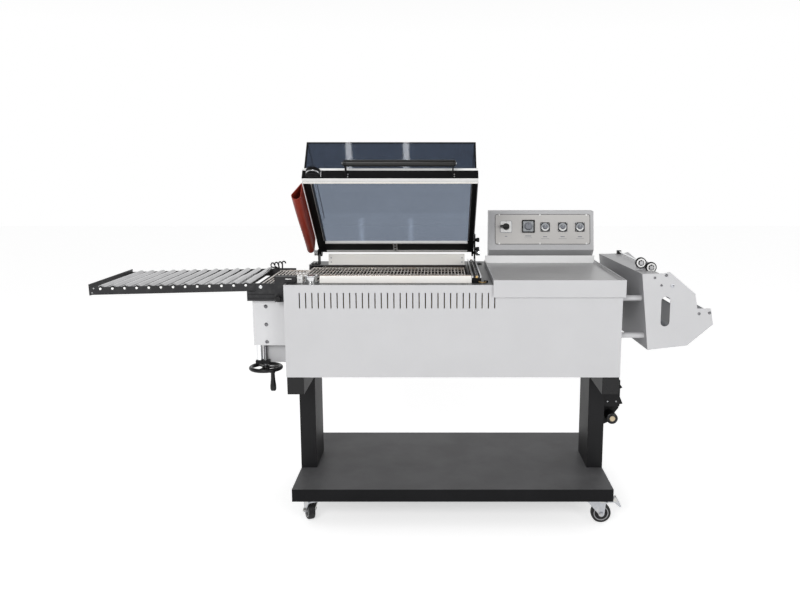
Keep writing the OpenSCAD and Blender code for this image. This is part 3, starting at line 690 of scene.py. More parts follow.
class WRAPPER_OT_hood(WrapperPiece, bpy.types.Operator):
    """Hood: frame, trims, seals, armature, handle, acrylic cover and hinge brackets"""

    bl_idname = "wrapper.hood"
    bl_label = "Hood"

    def build(self, look, sizes):
        coat("hood_frame", "black_paint", 1.0)
        coat("hood_glazing", "smoked_acrylic", 0.8)
        coat("hinge_brackets", "black_paint", 1.0)
        trim = Shape(HOOD)
        # pale trims above and below the black faces
        for y0, y1, z0, z1 in ((53, 55, 38, 47.6), (55, 58, 47, 47.8), (53.2, 70, -0.7, 1.6)):
            trim.box((HOOD_LEFT, y0, SEAL_Z + z0), (HOOD_RIGHT, y1, SEAL_Z + z1), "print_white")
        trim.box((-551, 71, SEAL_Z - 0.7), (92, 82, SEAL_Z), "jaw_cream")
        trim.box((-519, 484, SEAL_Z), (67, 485, SEAL_Z + 10), "print_white")
        trim.box((-519, 485, SEAL_Z - 0.8), (67, 490, SEAL_Z), "print_white")
        trim.box((-519, 540, SEAL_Z - 0.8), (67, 552, SEAL_Z), "print_white")
        for x0, x1 in ((HOOD_LEFT, -549), (-523, -520), (68, 71), (90, HOOD_RIGHT)):
            trim.box((x0, 85, SEAL_Z - 0.6), (x1, 468, SEAL_Z), "aluminium")
        for x0, x1 in ((-546.8, -546), (86, 86.8)):
            trim.box((x0, 84, SEAL_Z + 30), (x1, 556, SEAL_Z + 34), "aluminium")
        # centre bracket of the rear bar
        trim.box((-241, 486, SEAL_Z - 2.4), (-223, 546, SEAL_Z), "aluminium")
        for y in (496, 515, 534):
            trim.lathe((-232, y, SEAL_Z - 2.5), (0, 0, 1), [(0, 5), (0.5, 5)], "print_dark", 20)
        trim.piece("hood_trims", "hood", 0.25)
        armature = Shape(HOOD)
        armature.lathe((MAGNET_X, 54, SEAL_Z + 5), (0, 0, 1),
                       [(0, 24), (2, 26.8), (9, 27), (11, 27)], "black_plastic", 48)
        armature.lathe((MAGNET_X, 54, SEAL_Z + 16), (0, 0, 1), [(0, 27.2), (5, 27.2)],
                       "bright_steel", 48)
        armature.lathe((MAGNET_X, 54, SEAL_Z + 21), (0, 0, 1), [(0, 26.5), (12, 26), (15, 22)],
                       "black_plastic", 48)
        armature.box((-483.5, 50, SEAL_Z + 8), (-481, 54, SEAL_Z + 34), "aluminium")
        armature.piece("hood_armature", "hood", 0.3)
        handle = Shape(HOOD)
        left, right, y, z = -388, -1, 4, SEAL_Z + 32
        handle.rod((left, y, z), (right, y, z), 12.5, "grip_rubber", 36, 1.0)
        for x, s in ((left, -1), (right, 1)):
            handle.lathe((x, y, z), (s, 0, 0), [(0, 12.6), (1.5, 12.6), (2.5, 11.6), (8, 11.6),
                                                (11.4, 8)], "black_plastic", 32)
            handle.screw((x + s * 11, y, z), (s, 0, 0), 4.5, "bright_steel")
        arm = [(53.9, 2), (53.9, 24), (14, 42), (4, 44.4), (-6, 38), (-4, 26)]
        for x in (-392, -3):
            handle.prism("X", [(u, SEAL_Z + v) for u, v in arm], x, x + 5, "black_paint")
            handle.box((x - 6, 50.5, SEAL_Z + 3), (x + 11, 54, SEAL_Z + 24), "black_paint")
            handle.screw((x + 8, 50.5, SEAL_Z + 18), (0, -1, 0), 2.6)
            handle.screw((x + 8, 50.5, SEAL_Z + 8), (0, -1, 0), 2.6)
        handle.piece("hood_grip", "hood", 0.6, ("hood_handle",))
        cover = Shape(HOOD)
        # cemented corner beads of the cover
        for x in (-541.5, 81.5):
            cover.wire([(x, 63.6, SEAL_Z + 48), (x, 63.6, SEAL_Z + 168)], 1.6, "smoked_acrylic", 8)
            cover.wire([(x, 64, SEAL_Z + 168.4), (x, 550, SEAL_Z + 168.4)], 1.6,
                       "smoked_acrylic", 8)
        cover.piece("hood_corner_beads", "hood")
        hinge = Shape()
        for x, s in ((-562, -1), (103, 1)):
            hinge.hexagon((x, HINGE_Y, HINGE_Z), (s, 0, 0), 9, 6)
            for y in (582, 606):
                hinge.hexagon((x + s * 15, y, DECK_Z + 4), (0, 0, 1), 5, 3.6)
        for y, z, r in ((598, 985, 8.5), (590, 1024, 9.5)):
            hinge.lathe((103, y, z), (1, 0, 0), [(0, 5), (4, 5), (5, r), (15, r), (17, r - 1.5)],
                        "black_plastic", 20)
        hinge.rod((100, 590, 1044), (100, 612, 1010), 2.4, "bright_steel", 10)
        # torsion springs beside the pins
        for x0, s in ((-580, 1), (106, 1)):
            turns = [(x0 + 16 * k / 60, HINGE_Y + 11.5 * math.cos(k * 0.63),
                      HINGE_Z + 11.5 * math.sin(k * 0.63)) for k in range(61)]
            hinge.wire(turns, 1.3, "bright_steel", 6)
        hinge.piece("hinge_fittings", MACHINE)


class WRAPPER_OT_curtain(WrapperPiece, bpy.types.Operator):
    """Silicone sheet at the hood's left edge, with its clamping strip"""

    bl_idname = "wrapper.curtain"
    bl_label = "Exit curtain"

    def build(self, look, sizes):
        sheet = Shape(HOOD)
        rng = random.Random(7)
        waves = [(rng.uniform(0.01, 0.035), rng.uniform(0, 6.28), rng.uniform(0.2, 0.6))
                 for _ in range(5)]
        # the loop's outline about its clamped edge: across and down
        outline = [(-1.0, 2.4), (-3.4, 0.6)]
        outline += [(-16.5 - 18 * math.cos(math.radians(a)), -53 - 18 * math.sin(math.radians(a)))
                    for a in range(-16, 196, 14)]
        outline += [(1.7, -40), (1.7, -22), (1.7, -4), (1.4, 0.6)]
        inner = []
        middle = Vector((-16.5, -50))
        for i, p in enumerate(outline):
            before, after = Vector(outline[i - 1]), Vector(outline[(i + 1) % len(outline)])
            along = (after - before).normalized()
            inward = Vector((-along.y, along.x))
            if inward.dot(middle - Vector(p)) < 0:
                inward.negate()
            inner.append(Vector(p) + inward * 2.3)
        rows_out, rows_in = [], []
        steps = 56
        edge_x = -555.5
        for j in range(steps + 1):
            y = 84 + 366 * j / steps
            slim = 1 - 0.16 * (j / steps)
            pull = sum(a * math.sin(f * y + p) for f, p, a in waves)
            for source, rows in ((outline, rows_out), (inner, rows_in)):
                ring = []
                for u, v in source:
                    low = min(1.0, max(0.0, -v / 60))
                    width = u * (1 + (slim - 1) * low) if u < 0 else u
                    drop = v * (1 + 0.012 * pull * low)
                    ring.append((edge_x + width + pull * low, y, SEAL_Z + 1 + drop))
                rows.append(ring)
        count = len(outline)
        out = [[sheet.mesh.verts.new(p) for p in ring] for ring in rows_out]
        ins = [[sheet.mesh.verts.new(p) for p in ring] for ring in rows_in]
        faces = []
        for rows in (out, ins):
            for a, b in zip(rows, rows[1:]):
                for i in range(count):
                    k = (i + 1) % count
                    faces.append(sheet.mesh.faces.new((a[i], a[k], b[k], b[i])))
        for j in (0, steps):
            for i in range(count):
                k = (i + 1) % count
                faces.append(sheet.mesh.faces.new((out[j][i], out[j][k], ins[j][k], ins[j][i])))
        sheet.paint(faces, "silicone")
        sheet.piece("curtain_sheet", "curtain", 0.0, ("exit_curtain",), angle=60)
        strip = Shape(HOOD)
        strip.box((-553.6, 88, SEAL_Z + 5), (-552, 446, SEAL_Z + 11), "black_paint")
        for i in range(6):
            strip.screw((-552.6, 104 + i * 65, SEAL_Z + 18), (-1, 0, 0), 2.4)
        strip.piece("curtain_clamp", "hood", 0.3)


# ---- lift, mesh and roller table ----

class WRAPPER_OT_mesh(WrapperPiece, bpy.types.Operator):
    """Mesh platform: a frame of flat bars and a woven wire mesh"""

    bl_idname = "wrapper.mesh"
    bl_label = "Mesh platform"

    def build(self, look, sizes):
        body = "carriage"
        mesh = Shape()
        low, top = 901.0, 913.0
        for x0, x1, y1 in ((-700, -580, 468), (-580, 54, 550)):
            for y in (98, y1 - 4):
                mesh.box((x0, y, low), (x1, y + 4, top - 1), "mesh_wire")
            for x in (x0, x1 - 4):
                mesh.box((x, 98, low), (x + 4, y1, top - 2), "mesh_wire")
        for x in (-374, -168):
            mesh.box((x, 102, low), (x + 6, 546, top - 7), "mesh_wire")
        mesh.piece("mesh_frame", body, 0.4, ("mesh_platform",))
        weave = Shape()
        r = sizes.wire / 2
        pitch = sizes.wire_pitch
        z = top - r
        for i in range(int((54 + 697) / pitch)):
            x = -694 + pitch * i
            y1 = 466 if x < -582 else 548
            points = [(x + 0.5 * math.sin(y * 0.034 + i), y, z - 0.4)
                      for y in range(100, int(y1), 30)] + [(x, y1, z - 0.4)]
            weave.wire(points, r, "mesh_wire", 8)
        for j in range(6):
            y = 118 + 84 * j
            x0 = -698 if y < 466 else -578
            weave.wire([(x0, y, z - 2.6), (52, y, z - 2.6)], 1.4, "mesh_wire", 8)
        weave.piece("woven_mesh", body, angle=80)


class WRAPPER_OT_lift(WrapperPiece, bpy.types.Operator):
    """Lift: guide plate and rod, carriage beam and cover, arm and hooks"""

    bl_idname = "wrapper.lift"
    bl_label = "Lift"

    def build(self, look, sizes):
        guide = Shape()
        guide.box((-604, 110, 612), (-600, 160, 690), "grey_paint")
        guide.box((-705, 118.5, 612), (-604, 124, 845), "grey_paint")
        guide.box((-730, 92, 612), (-680, 118.5, 624), "charcoal_paint")
        guide.rod((-716, 105, 624), (-716, 105, 845), 11, "bright_steel", 36, 1.0)
        for z in (630, 672):
            guide.hexagon((-604, 148, z), (-1, 0, 0), 6, 4)
        guide.piece("lift_column", MACHINE, 0.6, ("lift_guide",))
        body = "carriage"
        cover = Shape()
        # the cover's front is paler than its sides, all one paint: painted light
        cover.box((-731, 84, 684), (-606, 87, 850), "lift_cover_painted_light")
        cover.box((-731, 87, 684), (-728, 147, 850), "grey_paint")
        cover.box((-731, 147, 684), (-606, 150, 850), "grey_paint")
        cover.box((-731, 84, 850), (-606, 150, 853), "grey_paint")
        for z in (829, 762, 697):
            cover.screw((-683, 84, z), (0, -1, 0), 5.0, "dark_zinc", 7.0)
        cover.box((-728, 87, 700), (-682, 104, 745), "zinc")
        cover.piece("lift_cover", body, 0.7, ("lift_carriage",))
        beam = Shape()
        beam.box((-745, 64, 853), (-640, 490, 887.5), "beam_grey")
        for y in (64, 484.5):
            beam.box((-712, y, 887.5), (-640, y + 5.5, 917), "beam_grey")
        for y, s in ((64, -1), (490, 1)):
            beam.lathe((PIVOT_X, y, PIVOT_Z), (0, s, 0), [(0, 6.5), (2.2, 6.5), (3, 5.4)],
                       "bright_steel", 28)
        beam.rod((PIVOT_X, 64, PIVOT_Z), (PIVOT_X, 78, PIVOT_Z), 4, "bright_steel", 20)
        beam.rod((PIVOT_X, 476, PIVOT_Z), (PIVOT_X, 490, PIVOT_Z), 4, "bright_steel", 20)
        beam.box((-640, 40, 853), (-603, 80, 945), "beam_grey")
        beam.box((-603, 40, 923), (-564, 80, 945), "beam_grey")
        beam.box((-603, 80, 923), (-575, 104, 927), "beam_grey")
        beam.box((-603, 98, 913), (-575, 104, 923), "beam_grey")
        beam.box((-650, 100, 887.5), (-643, 466, 901), "beam_grey")
        # grooves rolled in the beam's front
        for z in (862, 876):
            beam.box((-744, 63.4, z), (-641, 64, z + 2.4), "charcoal_paint")
        beam.lathe((-625, 40, 868), (0, -1, 0), [(0, 5), (6, 5), (7, 11), (18, 12), (21, 9)],
                   "black_plastic", 18)
        # thin white strip on the block's front: painted highlight
        beam.box((-600, 39.6, 935), (-578, 40, 938), "print_white")
        beam.piece("carriage_beam", body, 0.8)
        hooks = Shape()
        # four hooks over the far bearing
        for k in range(4):
            x = -744 + k * 15.5
            points = [(max(x, -709), 487, 914), (x + 1, 487, 922 + k * 2.2)]
            for i in range(9):
                t = math.radians(190 - i * 26)
                points.append((x + 7 + 6.4 * math.cos(t), 487 + i * 0.4,
                               932 + k * 2.2 + 6.4 * math.sin(t)))
            hooks.wire(points, 3.0, "black_plastic", 8)
        hooks.piece("film_hooks", body)


class WRAPPER_OT_handwheel(WrapperPiece, bpy.types.Operator):
    """Handwheel with three webs, the lift screw, and the crank grip"""

    bl_idname = "wrapper.handwheel"
    bl_label = "Handwheel"

    def build(self, look, sizes):
        x, y = -695, 105
        wheel = Shape(CABINET @ Matrix.Translation((x, y, 0)))
        wheel.ring((0, 0, 595), (0, 0, 1), 55, 7.5, "black_plastic", 64, 16)
        wheel.lathe((0, 0, 586), (0, 0, 1), [(0, 12), (1.5, 14), (15, 14), (17, 12)],
                    "black_plastic", 32)
        for a in (10, 130, 250):
            t = math.radians(a)
            out = Vector((math.cos(t), math.sin(t), 0))
            side = Vector((-math.sin(t), math.cos(t), 0))
            rings = []
            for d, half, thick in ((9, 9, 4.5), (28, 6.5, 3.6), (50, 10, 4.2)):
                centre = out * d + Vector((0, 0, 595))
                turns = (2 * math.pi * k / 16 for k in range(16))
                rings.append([centre + side * half * math.cos(s)
                              + Vector((0, 0, thick * math.sin(s))) for s in turns])
            wheel.loft(rings, "black_plastic")
        thread = []
        pitch = 4.0
        for k in range(int(197 / pitch)):
            z = k * pitch
            thread += [(z, 5.9), (z + 1.0, 7.0), (z + 2.0, 7.0), (z + 3.0, 5.9)]
        wheel.lathe((0, 0, 603), (0, 0, 1), thread, "dark_zinc", 24)
        cx, cy = 33, -40
        wheel.lathe((cx, cy, 584), (0, 0, 1), [(0, 8), (1, 9), (11, 9)], "black_plastic", 24)
        wheel.rod((cx, cy, 518), (cx, cy, 588), 4, "bright_steel", 20)
        wheel.lathe((cx, cy, 515), (0, 0, 1), [(0, 5.5), (1, 7), (3, 7)], "bright_steel", 24)
        wheel.piece("lift_handwheel", "handwheel_and_screw", 0.0, ("handwheel",),
                    angle=50)
        coat("crank_grip", "black_plastic", 0.8)


class WRAPPER_OT_roller_table(WrapperPiece, bpy.types.Operator):
    """Roller table: rails, axle ends and thirteen rollers"""

    bl_idname = "wrapper.roller_table"
    bl_label = "Roller table"

    def build(self, look, sizes):
        coat("table_frame", "beam_grey", 0.5)
        ends = Shape(TABLE)
        for x in (-615, -608):
            for y in (70, 484):
                s = -1 if y == 70 else 1
                ends.screw((x + 2, y, -8 if x == -615 else 8), (0, s, 0), 2.6)
        # bent corners of the end plate and a joint in the front rail
        ends.box((-623.6, 70.4, 19), (-619, 483.6, 22.8), "beam_grey")
        ends.box((-108, 69.6, -15.6), (-106.6, 70, 11.6), "print_dark")
        ends.box((-108, 484, -15.6), (-106.6, 484.4, 11.6), "print_dark")
        ends.piece("table_fittings", "table", 0.3)
        for i in range(13):
            x = -55 - i * 43.9
            roller = Shape(TABLE @ Matrix.Translation((x, 0, 6)))
            roller.lathe((0, 74.5, 0), (0, 1, 0), [
                (0, 11.4), (0.8, 12.5), (404.2, 12.5), (405, 11.4)], "roller_zinc", 36)
            for y, s in ((74.5, -1), (479.5, 1)):
                roller.lathe((0, y, 0), (0, s, 0), [(-0.4, 9.6), (0.5, 9.4), (1.1, 6)],
                             "black_plastic", 24)
                roller.rod((0, y, 0), (0, y + s * 5.2, 0), 4, "zinc", 16)
            # the front axle ends are white and the rear ones zinc: painted highlight for the glints
            # on the front ends
            for y, s in ((70, -1), (484.5, 1)):
                roller.lathe((0, y, 0), (0, s, 0), [(0.1, 4.6), (1.2, 4.6), (2.6, 3.4), (3, 1.8)],
                             "print_white" if s < 0 else "zinc", 20)
            stands_for = f"table_roller_{i + 1}"
            roller.piece(f"roller_{i + 1}", stands_for, 0.0, (stands_for,))


# ---- work tray and controls ----

class WRAPPER_OT_work_tray(WrapperPiece, bpy.types.Operator):
    """Work tray: a brushed floor in painted rims"""

    bl_idname = "wrapper.work_tray"
    bl_label = "Work tray"

    def build(self, look, sizes):
        tray = Shape()
        rim = DECK_Z + 19
        tray.box((141, -10, rim - 62), (609, -7, rim), "grey_paint")
        tray.box((606, -7, rim - 62), (609, 578, rim), "grey_paint")
        tray.box((141, -7, DECK_Z), (144, 578, rim), "grey_paint")
        # the rear upstand is a whiter copy of the rims' grey paint: painted light
        tray.box((144, 575, DECK_Z), (606, 578, rim + 19), "upstand_painted_light")
        tray.piece("tray_rims", MACHINE, 1.0, ("work_tray",))
        floor = Shape()
        floor.box((144, -7, DECK_Z + 4), (606, 575, DECK_Z + 7), "tray_steel")
        # folded fillets where the floor turns up
        floor.prism("Y", [(144, DECK_Z + 7), (149, DECK_Z + 7), (144, DECK_Z + 12)], -7, 575,
                    "tray_steel")
        floor.prism("Y", [(606, DECK_Z + 7), (606, DECK_Z + 12), (601, DECK_Z + 7)], -7, 575,
                    "tray_steel")
        floor.piece("tray_floor", MACHINE, 0.4)


class WRAPPER_OT_controls(WrapperPiece, bpy.types.Operator):
    """Control box, face plate, switch, temperature controller and timers"""

    bl_idname = "wrapper.controls"
    bl_label = "Controls"

    def outline(self, w, h, r, steps=6):
        """Points round a rectangle with round corners."""
        points = []
        for cx, cy, start in ((w - r, r, -90), (w - r, h - r, 0), (r, h - r, 90), (r, r, 180)):
            for i in range(steps + 1):
                t = math.radians(start + 90 * i / steps)
                points.append((cx + r * math.cos(t), cy + r * math.sin(t)))
        return points

    def plate(self, shape, u, v, w, h, r, low, high, name):
        shape.prism("Z", [(u + a, v + b) for a, b in self.outline(w, h, r)], low, high, name)

    def frame_line(self, shape, u, v, w, h, r, width, low, high, name):
        """A flat line round a rectangle with round corners."""
        outer = [(u + a, v + b) for a, b in self.outline(w, h, r)]
        inner = [(u + width + a, v + width + b)
                 for a, b in self.outline(w - 2 * width, h - 2 * width, r - width)]
        count = len(outer)
        for i in range(count):
            j = (i + 1) % count
            quad = [outer[i], outer[j], inner[j], inner[i]]
            if (Vector(quad[0]) - Vector(quad[1])).length < 0.01:
                continue
            shape.prism("Z", quad, low, high, name)

    def build(self, look, sizes):
        coat("control_box", "grey_paint", 1.2)
        face = Shape(FACE)
        self.plate(face, 26, 23, 402, 128, 9, 0, 2.3, "fascia_grey")
        self.frame_line(face, 26, 23, 402, 128, 9, 2.0, 2.3, 2.6, "print_dark")
        for u in (44, 216, 412):
            for v in (26.5, 147.5):
                face.screw((u, v, 2.3), (0, 0, 1), 3.8, "print_white")
        # switch plate with a thin rim
        u, v = SWITCH
        self.plate(face, u - 25, v - 25, 50, 50, 5, 2.3, 4.4, "white_plastic")
        self.frame_line(face, u - 25, v - 25, 50, 50, 5, 1.6, 4.4, 5.0, "dial_grey")
        for k in range(3):
            t = math.radians(180 - k * 45)
            face.rod((u + 20 * math.cos(t), v + 20 * math.sin(t), 4.4),
                     (u + 20 * math.cos(t), v + 20 * math.sin(t), 4.6), 1.0, "print_dark", 10)
        # temperature controller: black bezel, pale face and its scale
        u, v = METER
        self.plate(face, u - 27, v - 27, 54, 54, 3, 2.3, 4.2, "black_plastic")
        self.frame_line(face, u - 27, v - 27, 54, 54, 3, 5, 4.2, 8.0, "black_plastic")
        self.plate(face, u - 21.6, v - 21.6, 43.2, 43.2, 2, 4.2, 5.0, "meter_face")
        for k in range(25):
            t = math.radians(225 - k * 11.25)
            long = k % 4 == 0
            a = Vector((u + 20.6 * math.cos(t), v + 20.6 * math.sin(t), 5.05))
            b = Vector((u + (17.4 if long else 18.8) * math.cos(t),
                        v + (17.4 if long else 18.8) * math.sin(t), 5.05))
            face.wire([a, b], 0.28 if long else 0.18, "print_dark", 4)
        # plain bars below the controls, where a label would be
        for (u, v), width in ((SWITCH, 10), (METER, 26), *((at, 17) for at in TIMERS)):
            face.box((u - width / 2, v - 42, 2.3), (u + width / 2, v - 39, 2.45), "dial_grey")
            if width > 10:
                face.box((u - 17, v - 49, 2.3), (u + 17, v - 48, 2.45), "dial_grey")
        # timers: square black bezels with round openings
        for u, v in TIMERS:
            self.plate(face, u - 19.5, v - 19.5, 39, 39, 3, 2.3, 6.4, "black_plastic")
            face.ring((u, v, 6.4), (0, 0, 1), 17.0, 0.8, "dial_grey", 40, 8)
            face.lathe((u, v, 6.2), (0, 0, 1), [(0, 16.4), (0.5, 16.4)], "meter_face", 40)
            crescent = []
            for i in range(21):
                t = math.radians(195 + 150 * i / 20)
                crescent.append((u + 16.2 * math.cos(t), v + 16.2 * math.sin(t)))
            for i in range(21):
                t = math.radians(345 - 150 * i / 20)
                crescent.append((u + 10.4 * math.cos(t), v + 1.0 + 10.4 * math.sin(t)))
            face.prism("Z", crescent, 6.7, 6.95, "print_white")
            for k in range(11):
                t = math.radians(225 - k * 27)
                face.wire([(u + 15.4 * math.cos(t), v + 15.4 * math.sin(t), 6.95),
                           (u + 13.8 * math.cos(t), v + 13.8 * math.sin(t), 6.95)], 0.2,
                          "print_white", 4)
            for k in range(4):
                t = math.pi / 4 + k * math.pi / 2
                face.screw((u + 23.2 * math.cos(t), v + 23.2 * math.sin(t), 6.4), (0, 0, 1), 1.6,
                           "bright_steel")
        face.piece("control_face", MACHINE, 0.3, ("control_fascia",))
        self.knobs()
        back = Shape()
        for x in (175, 588):
            for z in (940, 1125):
                back.screw((x, 680, z), (0, 1, 0), 3.2)
        back.box((200, 680, 960), (563, 680.4, 962), "print_dark")
        back.piece("control_box_screws", MACHINE)

    def knobs(self):
        """Switch lever, temperature dial and timer dials."""
        lever = Shape(FACE @ Matrix.Translation((*SWITCH, 0)))
        lever.lathe((0, 0, 5.3), (0, 0, 1), [(0, 14), (1.0, 14), (8.2, 13.2), (9, 12.4)],
                    "black_plastic", 40)
        outline = [(-27, -3.6), (-25, -5), (8, -5), (12, -3), (12, 3), (8, 5), (-25, 5), (-27, 3.6)]
        lever.prism("Z", outline, 14.2, 23.3, "black_plastic")
        lever.box((-26.4, -0.6, 23.0), (-15, 0.6, 23.3), "print_white")
        lever.piece("switch_lever", "switch_knob", 0.8, ("main_switch",))
        dial = Shape(FACE @ Matrix.Translation((*METER, 0)))
        dial.lathe((0, 0, 6.2), (0, 0, 1), [(0, 16), (0.6, 16.6), (2.2, 16.6), (2.8, 15.6),
                                            (8, 14.4), (9.6, 13)], "dial_grey", 48)
        for k in range(24):
            t = 2 * math.pi * k / 24
            dial.rod((15.4 * math.cos(t), 15.4 * math.sin(t), 8.6),
                     (14.6 * math.cos(t), 14.6 * math.sin(t), 14.6), 0.55, "dial_grey", 6)
        dial.box((-0.7, 4, 15.6), (0.7, 13.4, 16.3), "print_dark")
        dial.piece("temperature_knob_cap", "temperature_knob", 0.25, ("temperature_dial",))
        for n, at in enumerate(TIMERS):
            knob = Shape(FACE @ Matrix.Translation((*at, 0)))
            knob.lathe((0, 0, 7.0), (0, 0, 1), [(0, 9.6), (0.8, 10.2), (3, 10.2), (9, 8.8),
                                                (10.2, 7.6)], "dial_grey", 32)
            for k in range(16):
                t = 2 * math.pi * k / 16
                knob.rod((9.7 * math.cos(t), 9.7 * math.sin(t), 9.6),
                         (8.7 * math.cos(t), 8.7 * math.sin(t), 16.0), 0.5, "dial_grey", 6)
            knob.box((-0.6, 1.5, 17.0), (0.6, 7.6, 17.7), "print_white")
            knob.piece(f"timer_knob_cap_{n + 1}", f"timer_knob_{n + 1}", 0.2,
                       (f"timer_dial_{n + 1}",))


# ---- film cradle and side motor ----

class WRAPPER_OT_film_cradle(WrapperPiece, bpy.types.Operator):
    """Film cradle with its rollers, film wheels and screws"""

    bl_idname = "wrapper.film_cradle"
    bl_label = "Film cradle"

    def build(self, look, sizes):
        # the cradle's faces that look to -X are darkened: painted shade from the cabinet
        coat("film_cradle", "cradle_paint_painted_shade", 0.6)
        screws = Shape()
        for x, z, r, tone in ((712, 945, 3.4, "dark_zinc"), (752, 954, 4.0, "dark_zinc"),
                              (736.5, 918, 3.2, "dark_zinc"), (775.5, 916, 5.2, "zinc"),
                              (875, 816, 4.0, "dark_zinc"), (912, 819, 4.0, "dark_zinc")):
            screws.screw((x, CRADLE_FRONT, z), (0, -1, 0), r, tone, r * 1.35)
            screws.screw((x, CRADLE_REAR, z), (0, 1, 0), r, tone, r * 1.35)
        for y in (50, 600):
            for z in (867, 730):
                for k in range(3):
                    t = 2 * math.pi * k / 3 + 0.5
                    screws.hexagon((605, y + 14 * math.cos(t), z + 14 * math.sin(t)), (1, 0, 0),
                                   2.8, 2.2)
        # shaft behind the second wheel, and its far bearing
        screws.rod((722, 120.2, 970), (722, 628, 970), 3.0, "bright_steel", 16)
        screws.box((713, 626, 959), (731, 639, 975), "black_plastic")
        screws.piece("cradle_screws", MACHINE)
        for n, (x, z) in enumerate(((893, 815), (800, 738))):
            roller = Shape()
            roller.lathe((x, 14.5, z), (0, 1, 0), [(0, 15), (2, 17), (622, 17), (624, 15)],
                         "sleeve_rubber", 40)
            for y, s in ((14.5, -1), (638.5, 1)):
                roller.lathe((x, y, z), (0, s, 0), [(-0.5, 12), (0.9, 12)], "zinc", 24)
                roller.rod((x, y, z), (x, y + s * 4.6, z), 6, "grey_paint", 28)
            roller.piece(f"film_roller_tube_{n + 1}", f"film_roller_{n + 1}", 0.0,
                         (f"cradle_roller_{n + 1}",))
        for n, (x, z) in enumerate(((684, 987), (722, 970))):
            wheel = Shape(CABINET @ Matrix.Translation((x, 106, z)))
            wheel.lathe((0, 0, 0), (0, 1, 0), [(-6, 15.2), (-6, 17), (6, 17), (6, 15.2)],
                        "white_plastic", 40)
            wheel.lathe((0, 0, 0), (0, 1, 0), [(-2, 4.1), (-2, 16), (2, 16), (2, 4.1)],
                        "white_plastic", 40)
            wheel.lathe((0, 0, 0), (0, 1, 0), [(-8, 4.1), (-8, 6.6), (-6.4, 6.6), (-6.4, 10.8),
                        (6.4, 10.8), (6.4, 6.6), (8, 6.6), (8, 4.1)], "black_plastic", 28)
            wheel.ring((0, -3.6, 0), (0, 1, 0), 17.2, 2.8, "tyre_rubber", 44, 10)
            wheel.ring((0, 3.6, 0), (0, 1, 0), 17.2, 2.8, "tyre_rubber", 44, 10)
            for k in range(6):
                t = 2 * math.pi * k / 6
                wheel.rod((6 * math.cos(t), -6.4, 6 * math.sin(t)),
                          (12 * math.cos(t), -6.4, 12 * math.sin(t)), 0.8, "white_plastic", 8)
            wheel.piece(f"film_wheel_rim_{n + 1}", f"film_wheel_{n + 1}_body", 0.0,
                        (f"film_wheel_{n + 1}",))
        motor = Shape()
        outline = [(597, 512), (655, 519), (657, 494), (682, 461), (673, 456), (673, 423),
                   (685, 394), (669, 391), (669, 377), (654, 357), (651, 330), (645, 325),
                   (607, 308), (597, 300)]
        motor.prism("Y", outline, 300, 306, "charcoal_paint")
        motor.box((597, 246, 400), (660, 300, 505), "charcoal_paint")
        motor.lathe((632, 236, 352), (0, 1, 0), [(0, 19), (2, 22), (50, 22), (52, 20), (64, 20)],
                    "black_plastic", 36)
        motor.lathe((632, 234, 352), (0, 1, 0), [(0, 9), (2, 11), (2.4, 11)], "ivory", 24)
        for x, z in ((612, 420), (612, 485), (646, 420), (646, 485)):
            motor.screw((x, 246, z), (0, -1, 0), 3.6)
        motor.piece("stand_motor", MACHINE, 1.0, ("side_motor",))


# ---- stage ----

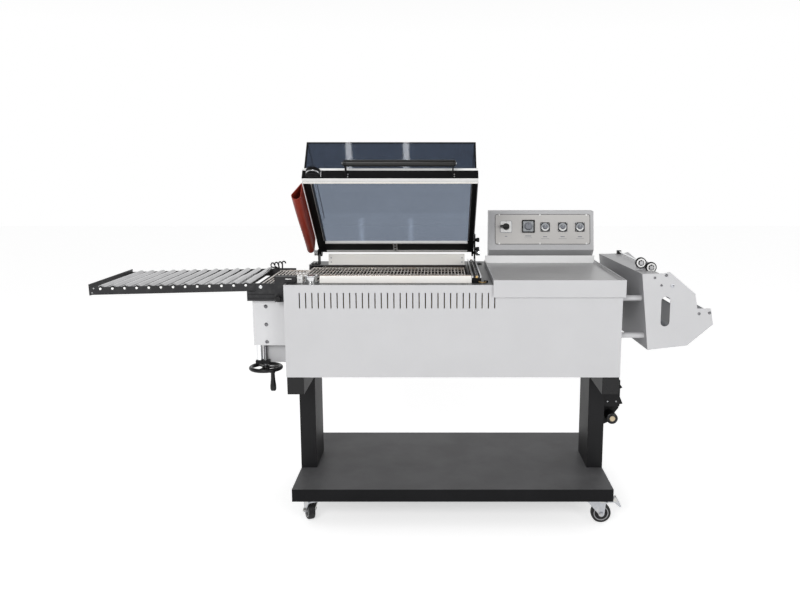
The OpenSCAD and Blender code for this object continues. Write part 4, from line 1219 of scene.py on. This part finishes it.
class WRAPPER_OT_stage(WrapperPiece, bpy.types.Operator):
    """Pale floor, soft lights and the camera"""

    bl_idname = "wrapper.stage"
    bl_label = "Stage"

    def light(self, name, at, target, size, power):
        data = bpy.data.lights.new(name, "AREA")
        data.shape = "RECTANGLE"
        data.size, data.size_y = size
        data.energy = power
        obj = bpy.data.objects.new(name, data)
        bpy.context.scene.collection.objects.link(obj)
        obj.location = at
        obj.rotation_euler = (Vector(target) - Vector(at)).to_track_quat("-Z", "Y").to_euler()

    def world(self, scene):
        """A white room that is dimmer overhead and behind the viewer."""
        world = bpy.data.worlds.new("studio")
        world.use_nodes = True
        tree = world.node_tree
        way = tree.nodes.new("ShaderNodeTexCoord")
        split = tree.nodes.new("ShaderNodeSeparateXYZ")
        link(tree, way.outputs["Generated"], split.inputs[0])
        both = tree.nodes.new("ShaderNodeMath")
        both.operation = "MULTIPLY"
        link(tree, ramp(tree, split.outputs[2], 0.15, 0.9, 1.0, 0.52), both.inputs[0])
        link(tree, ramp(tree, split.outputs[1], -0.2, 0.3, 0.55, 1.0), both.inputs[1])
        link(tree, both.outputs[0], tree.nodes["Background"].inputs["Strength"])
        tree.nodes["Background"].inputs["Color"].default_value = (1, 1, 1, 1)
        scene.world = world

    def build(self, look, sizes):
        scene = bpy.context.scene
        floor = bpy.data.meshes.new("floor")
        half = 14.0
        floor.from_pydata([(-half, -half, 0), (half, -half, 0), (half, half, 0), (-half, half, 0)],
                          [], [(0, 1, 2, 3)])
        obj = bpy.data.objects.new("floor", floor)
        scene.collection.objects.link(obj)
        floor.materials.append(finish(
            "stage_floor", (0.82, 0.82, 0.82), 0.8, grain=30, depth=0.0, mottle=0.01,
            Emission_Color=(1, 1, 1, 1), Emission_Strength=0.56, Specular_IOR_Level=0.0))
        self.world(scene)
        centre = (0.0, 0.0, 0.9)
        power = sizes.key_light
        self.light("key", (-1.2, -5.0, 3.0), centre, (2.4, 1.6), power)
        self.light("fill", (3.0, -4.4, 1.8), centre, (1.6, 1.6), power * 0.35)
        for x in (-0.42, -0.06):
            self.light("strip", (x, -0.75, 3.4), (x, -0.75, 0.0), (0.035, 2.2), 1.6)
        camera = bpy.data.cameras.new("camera")
        camera.lens = 35.94
        camera.sensor_width = 36.0
        camera.shift_x = -0.0485
        view = bpy.data.objects.new("camera", camera)
        scene.collection.objects.link(view)
        view.location = ORIGIN + Vector((-51.6, -2783.6, 1348.4)) * MM
        view.rotation_euler = (math.radians(90 - 9.8), 0, 0)
        scene.camera = view
        scene.view_settings.view_transform = "Standard"


OPERATORS = (
    WRAPPER_OT_cabinet, WRAPPER_OT_stand, WRAPPER_OT_castors, WRAPPER_OT_deck,
    WRAPPER_OT_chamber, WRAPPER_OT_hood, WRAPPER_OT_curtain, WRAPPER_OT_mesh, WRAPPER_OT_lift,
    WRAPPER_OT_handwheel, WRAPPER_OT_roller_table, WRAPPER_OT_work_tray, WRAPPER_OT_controls,
    WRAPPER_OT_film_cradle, WRAPPER_OT_stage,
)


class WRAPPER_PT_panel(bpy.types.Panel):
    """Lists the machine's pieces in the sidebar"""

    bl_idname = "WRAPPER_PT_panel"
    bl_label = "Shrink Wrapping Machine"
    bl_space_type = "VIEW_3D"
    bl_region_type = "UI"
    bl_category = "Wrapper"

    def draw(self, context):
        layout = self.layout
        for group in (context.scene.wrapper_look, context.scene.wrapper_sizes):
            for key in group.__annotations__:
                layout.prop(group, key)
        for operator in OPERATORS:
            layout.operator(operator.bl_idname)


CLASSES = (WrapperLook, WrapperSizes, *OPERATORS, WRAPPER_PT_panel)


def register():
    for cls in CLASSES:
        bpy.utils.register_class(cls)
    bpy.types.Scene.wrapper_look = bpy.props.PointerProperty(type=WrapperLook)
    bpy.types.Scene.wrapper_sizes = bpy.props.PointerProperty(type=WrapperSizes)


def unregister():
    del bpy.types.Scene.wrapper_sizes
    del bpy.types.Scene.wrapper_look
    for cls in reversed(CLASSES):
        bpy.utils.unregister_class(cls)


def main():
    register()
    make_finishes(bpy.context.scene.wrapper_look)
    for operator in OPERATORS:
        group, call = operator.bl_idname.split(".")
        getattr(getattr(bpy.ops, group), call)()


if __name__ == "__main__":
    main()
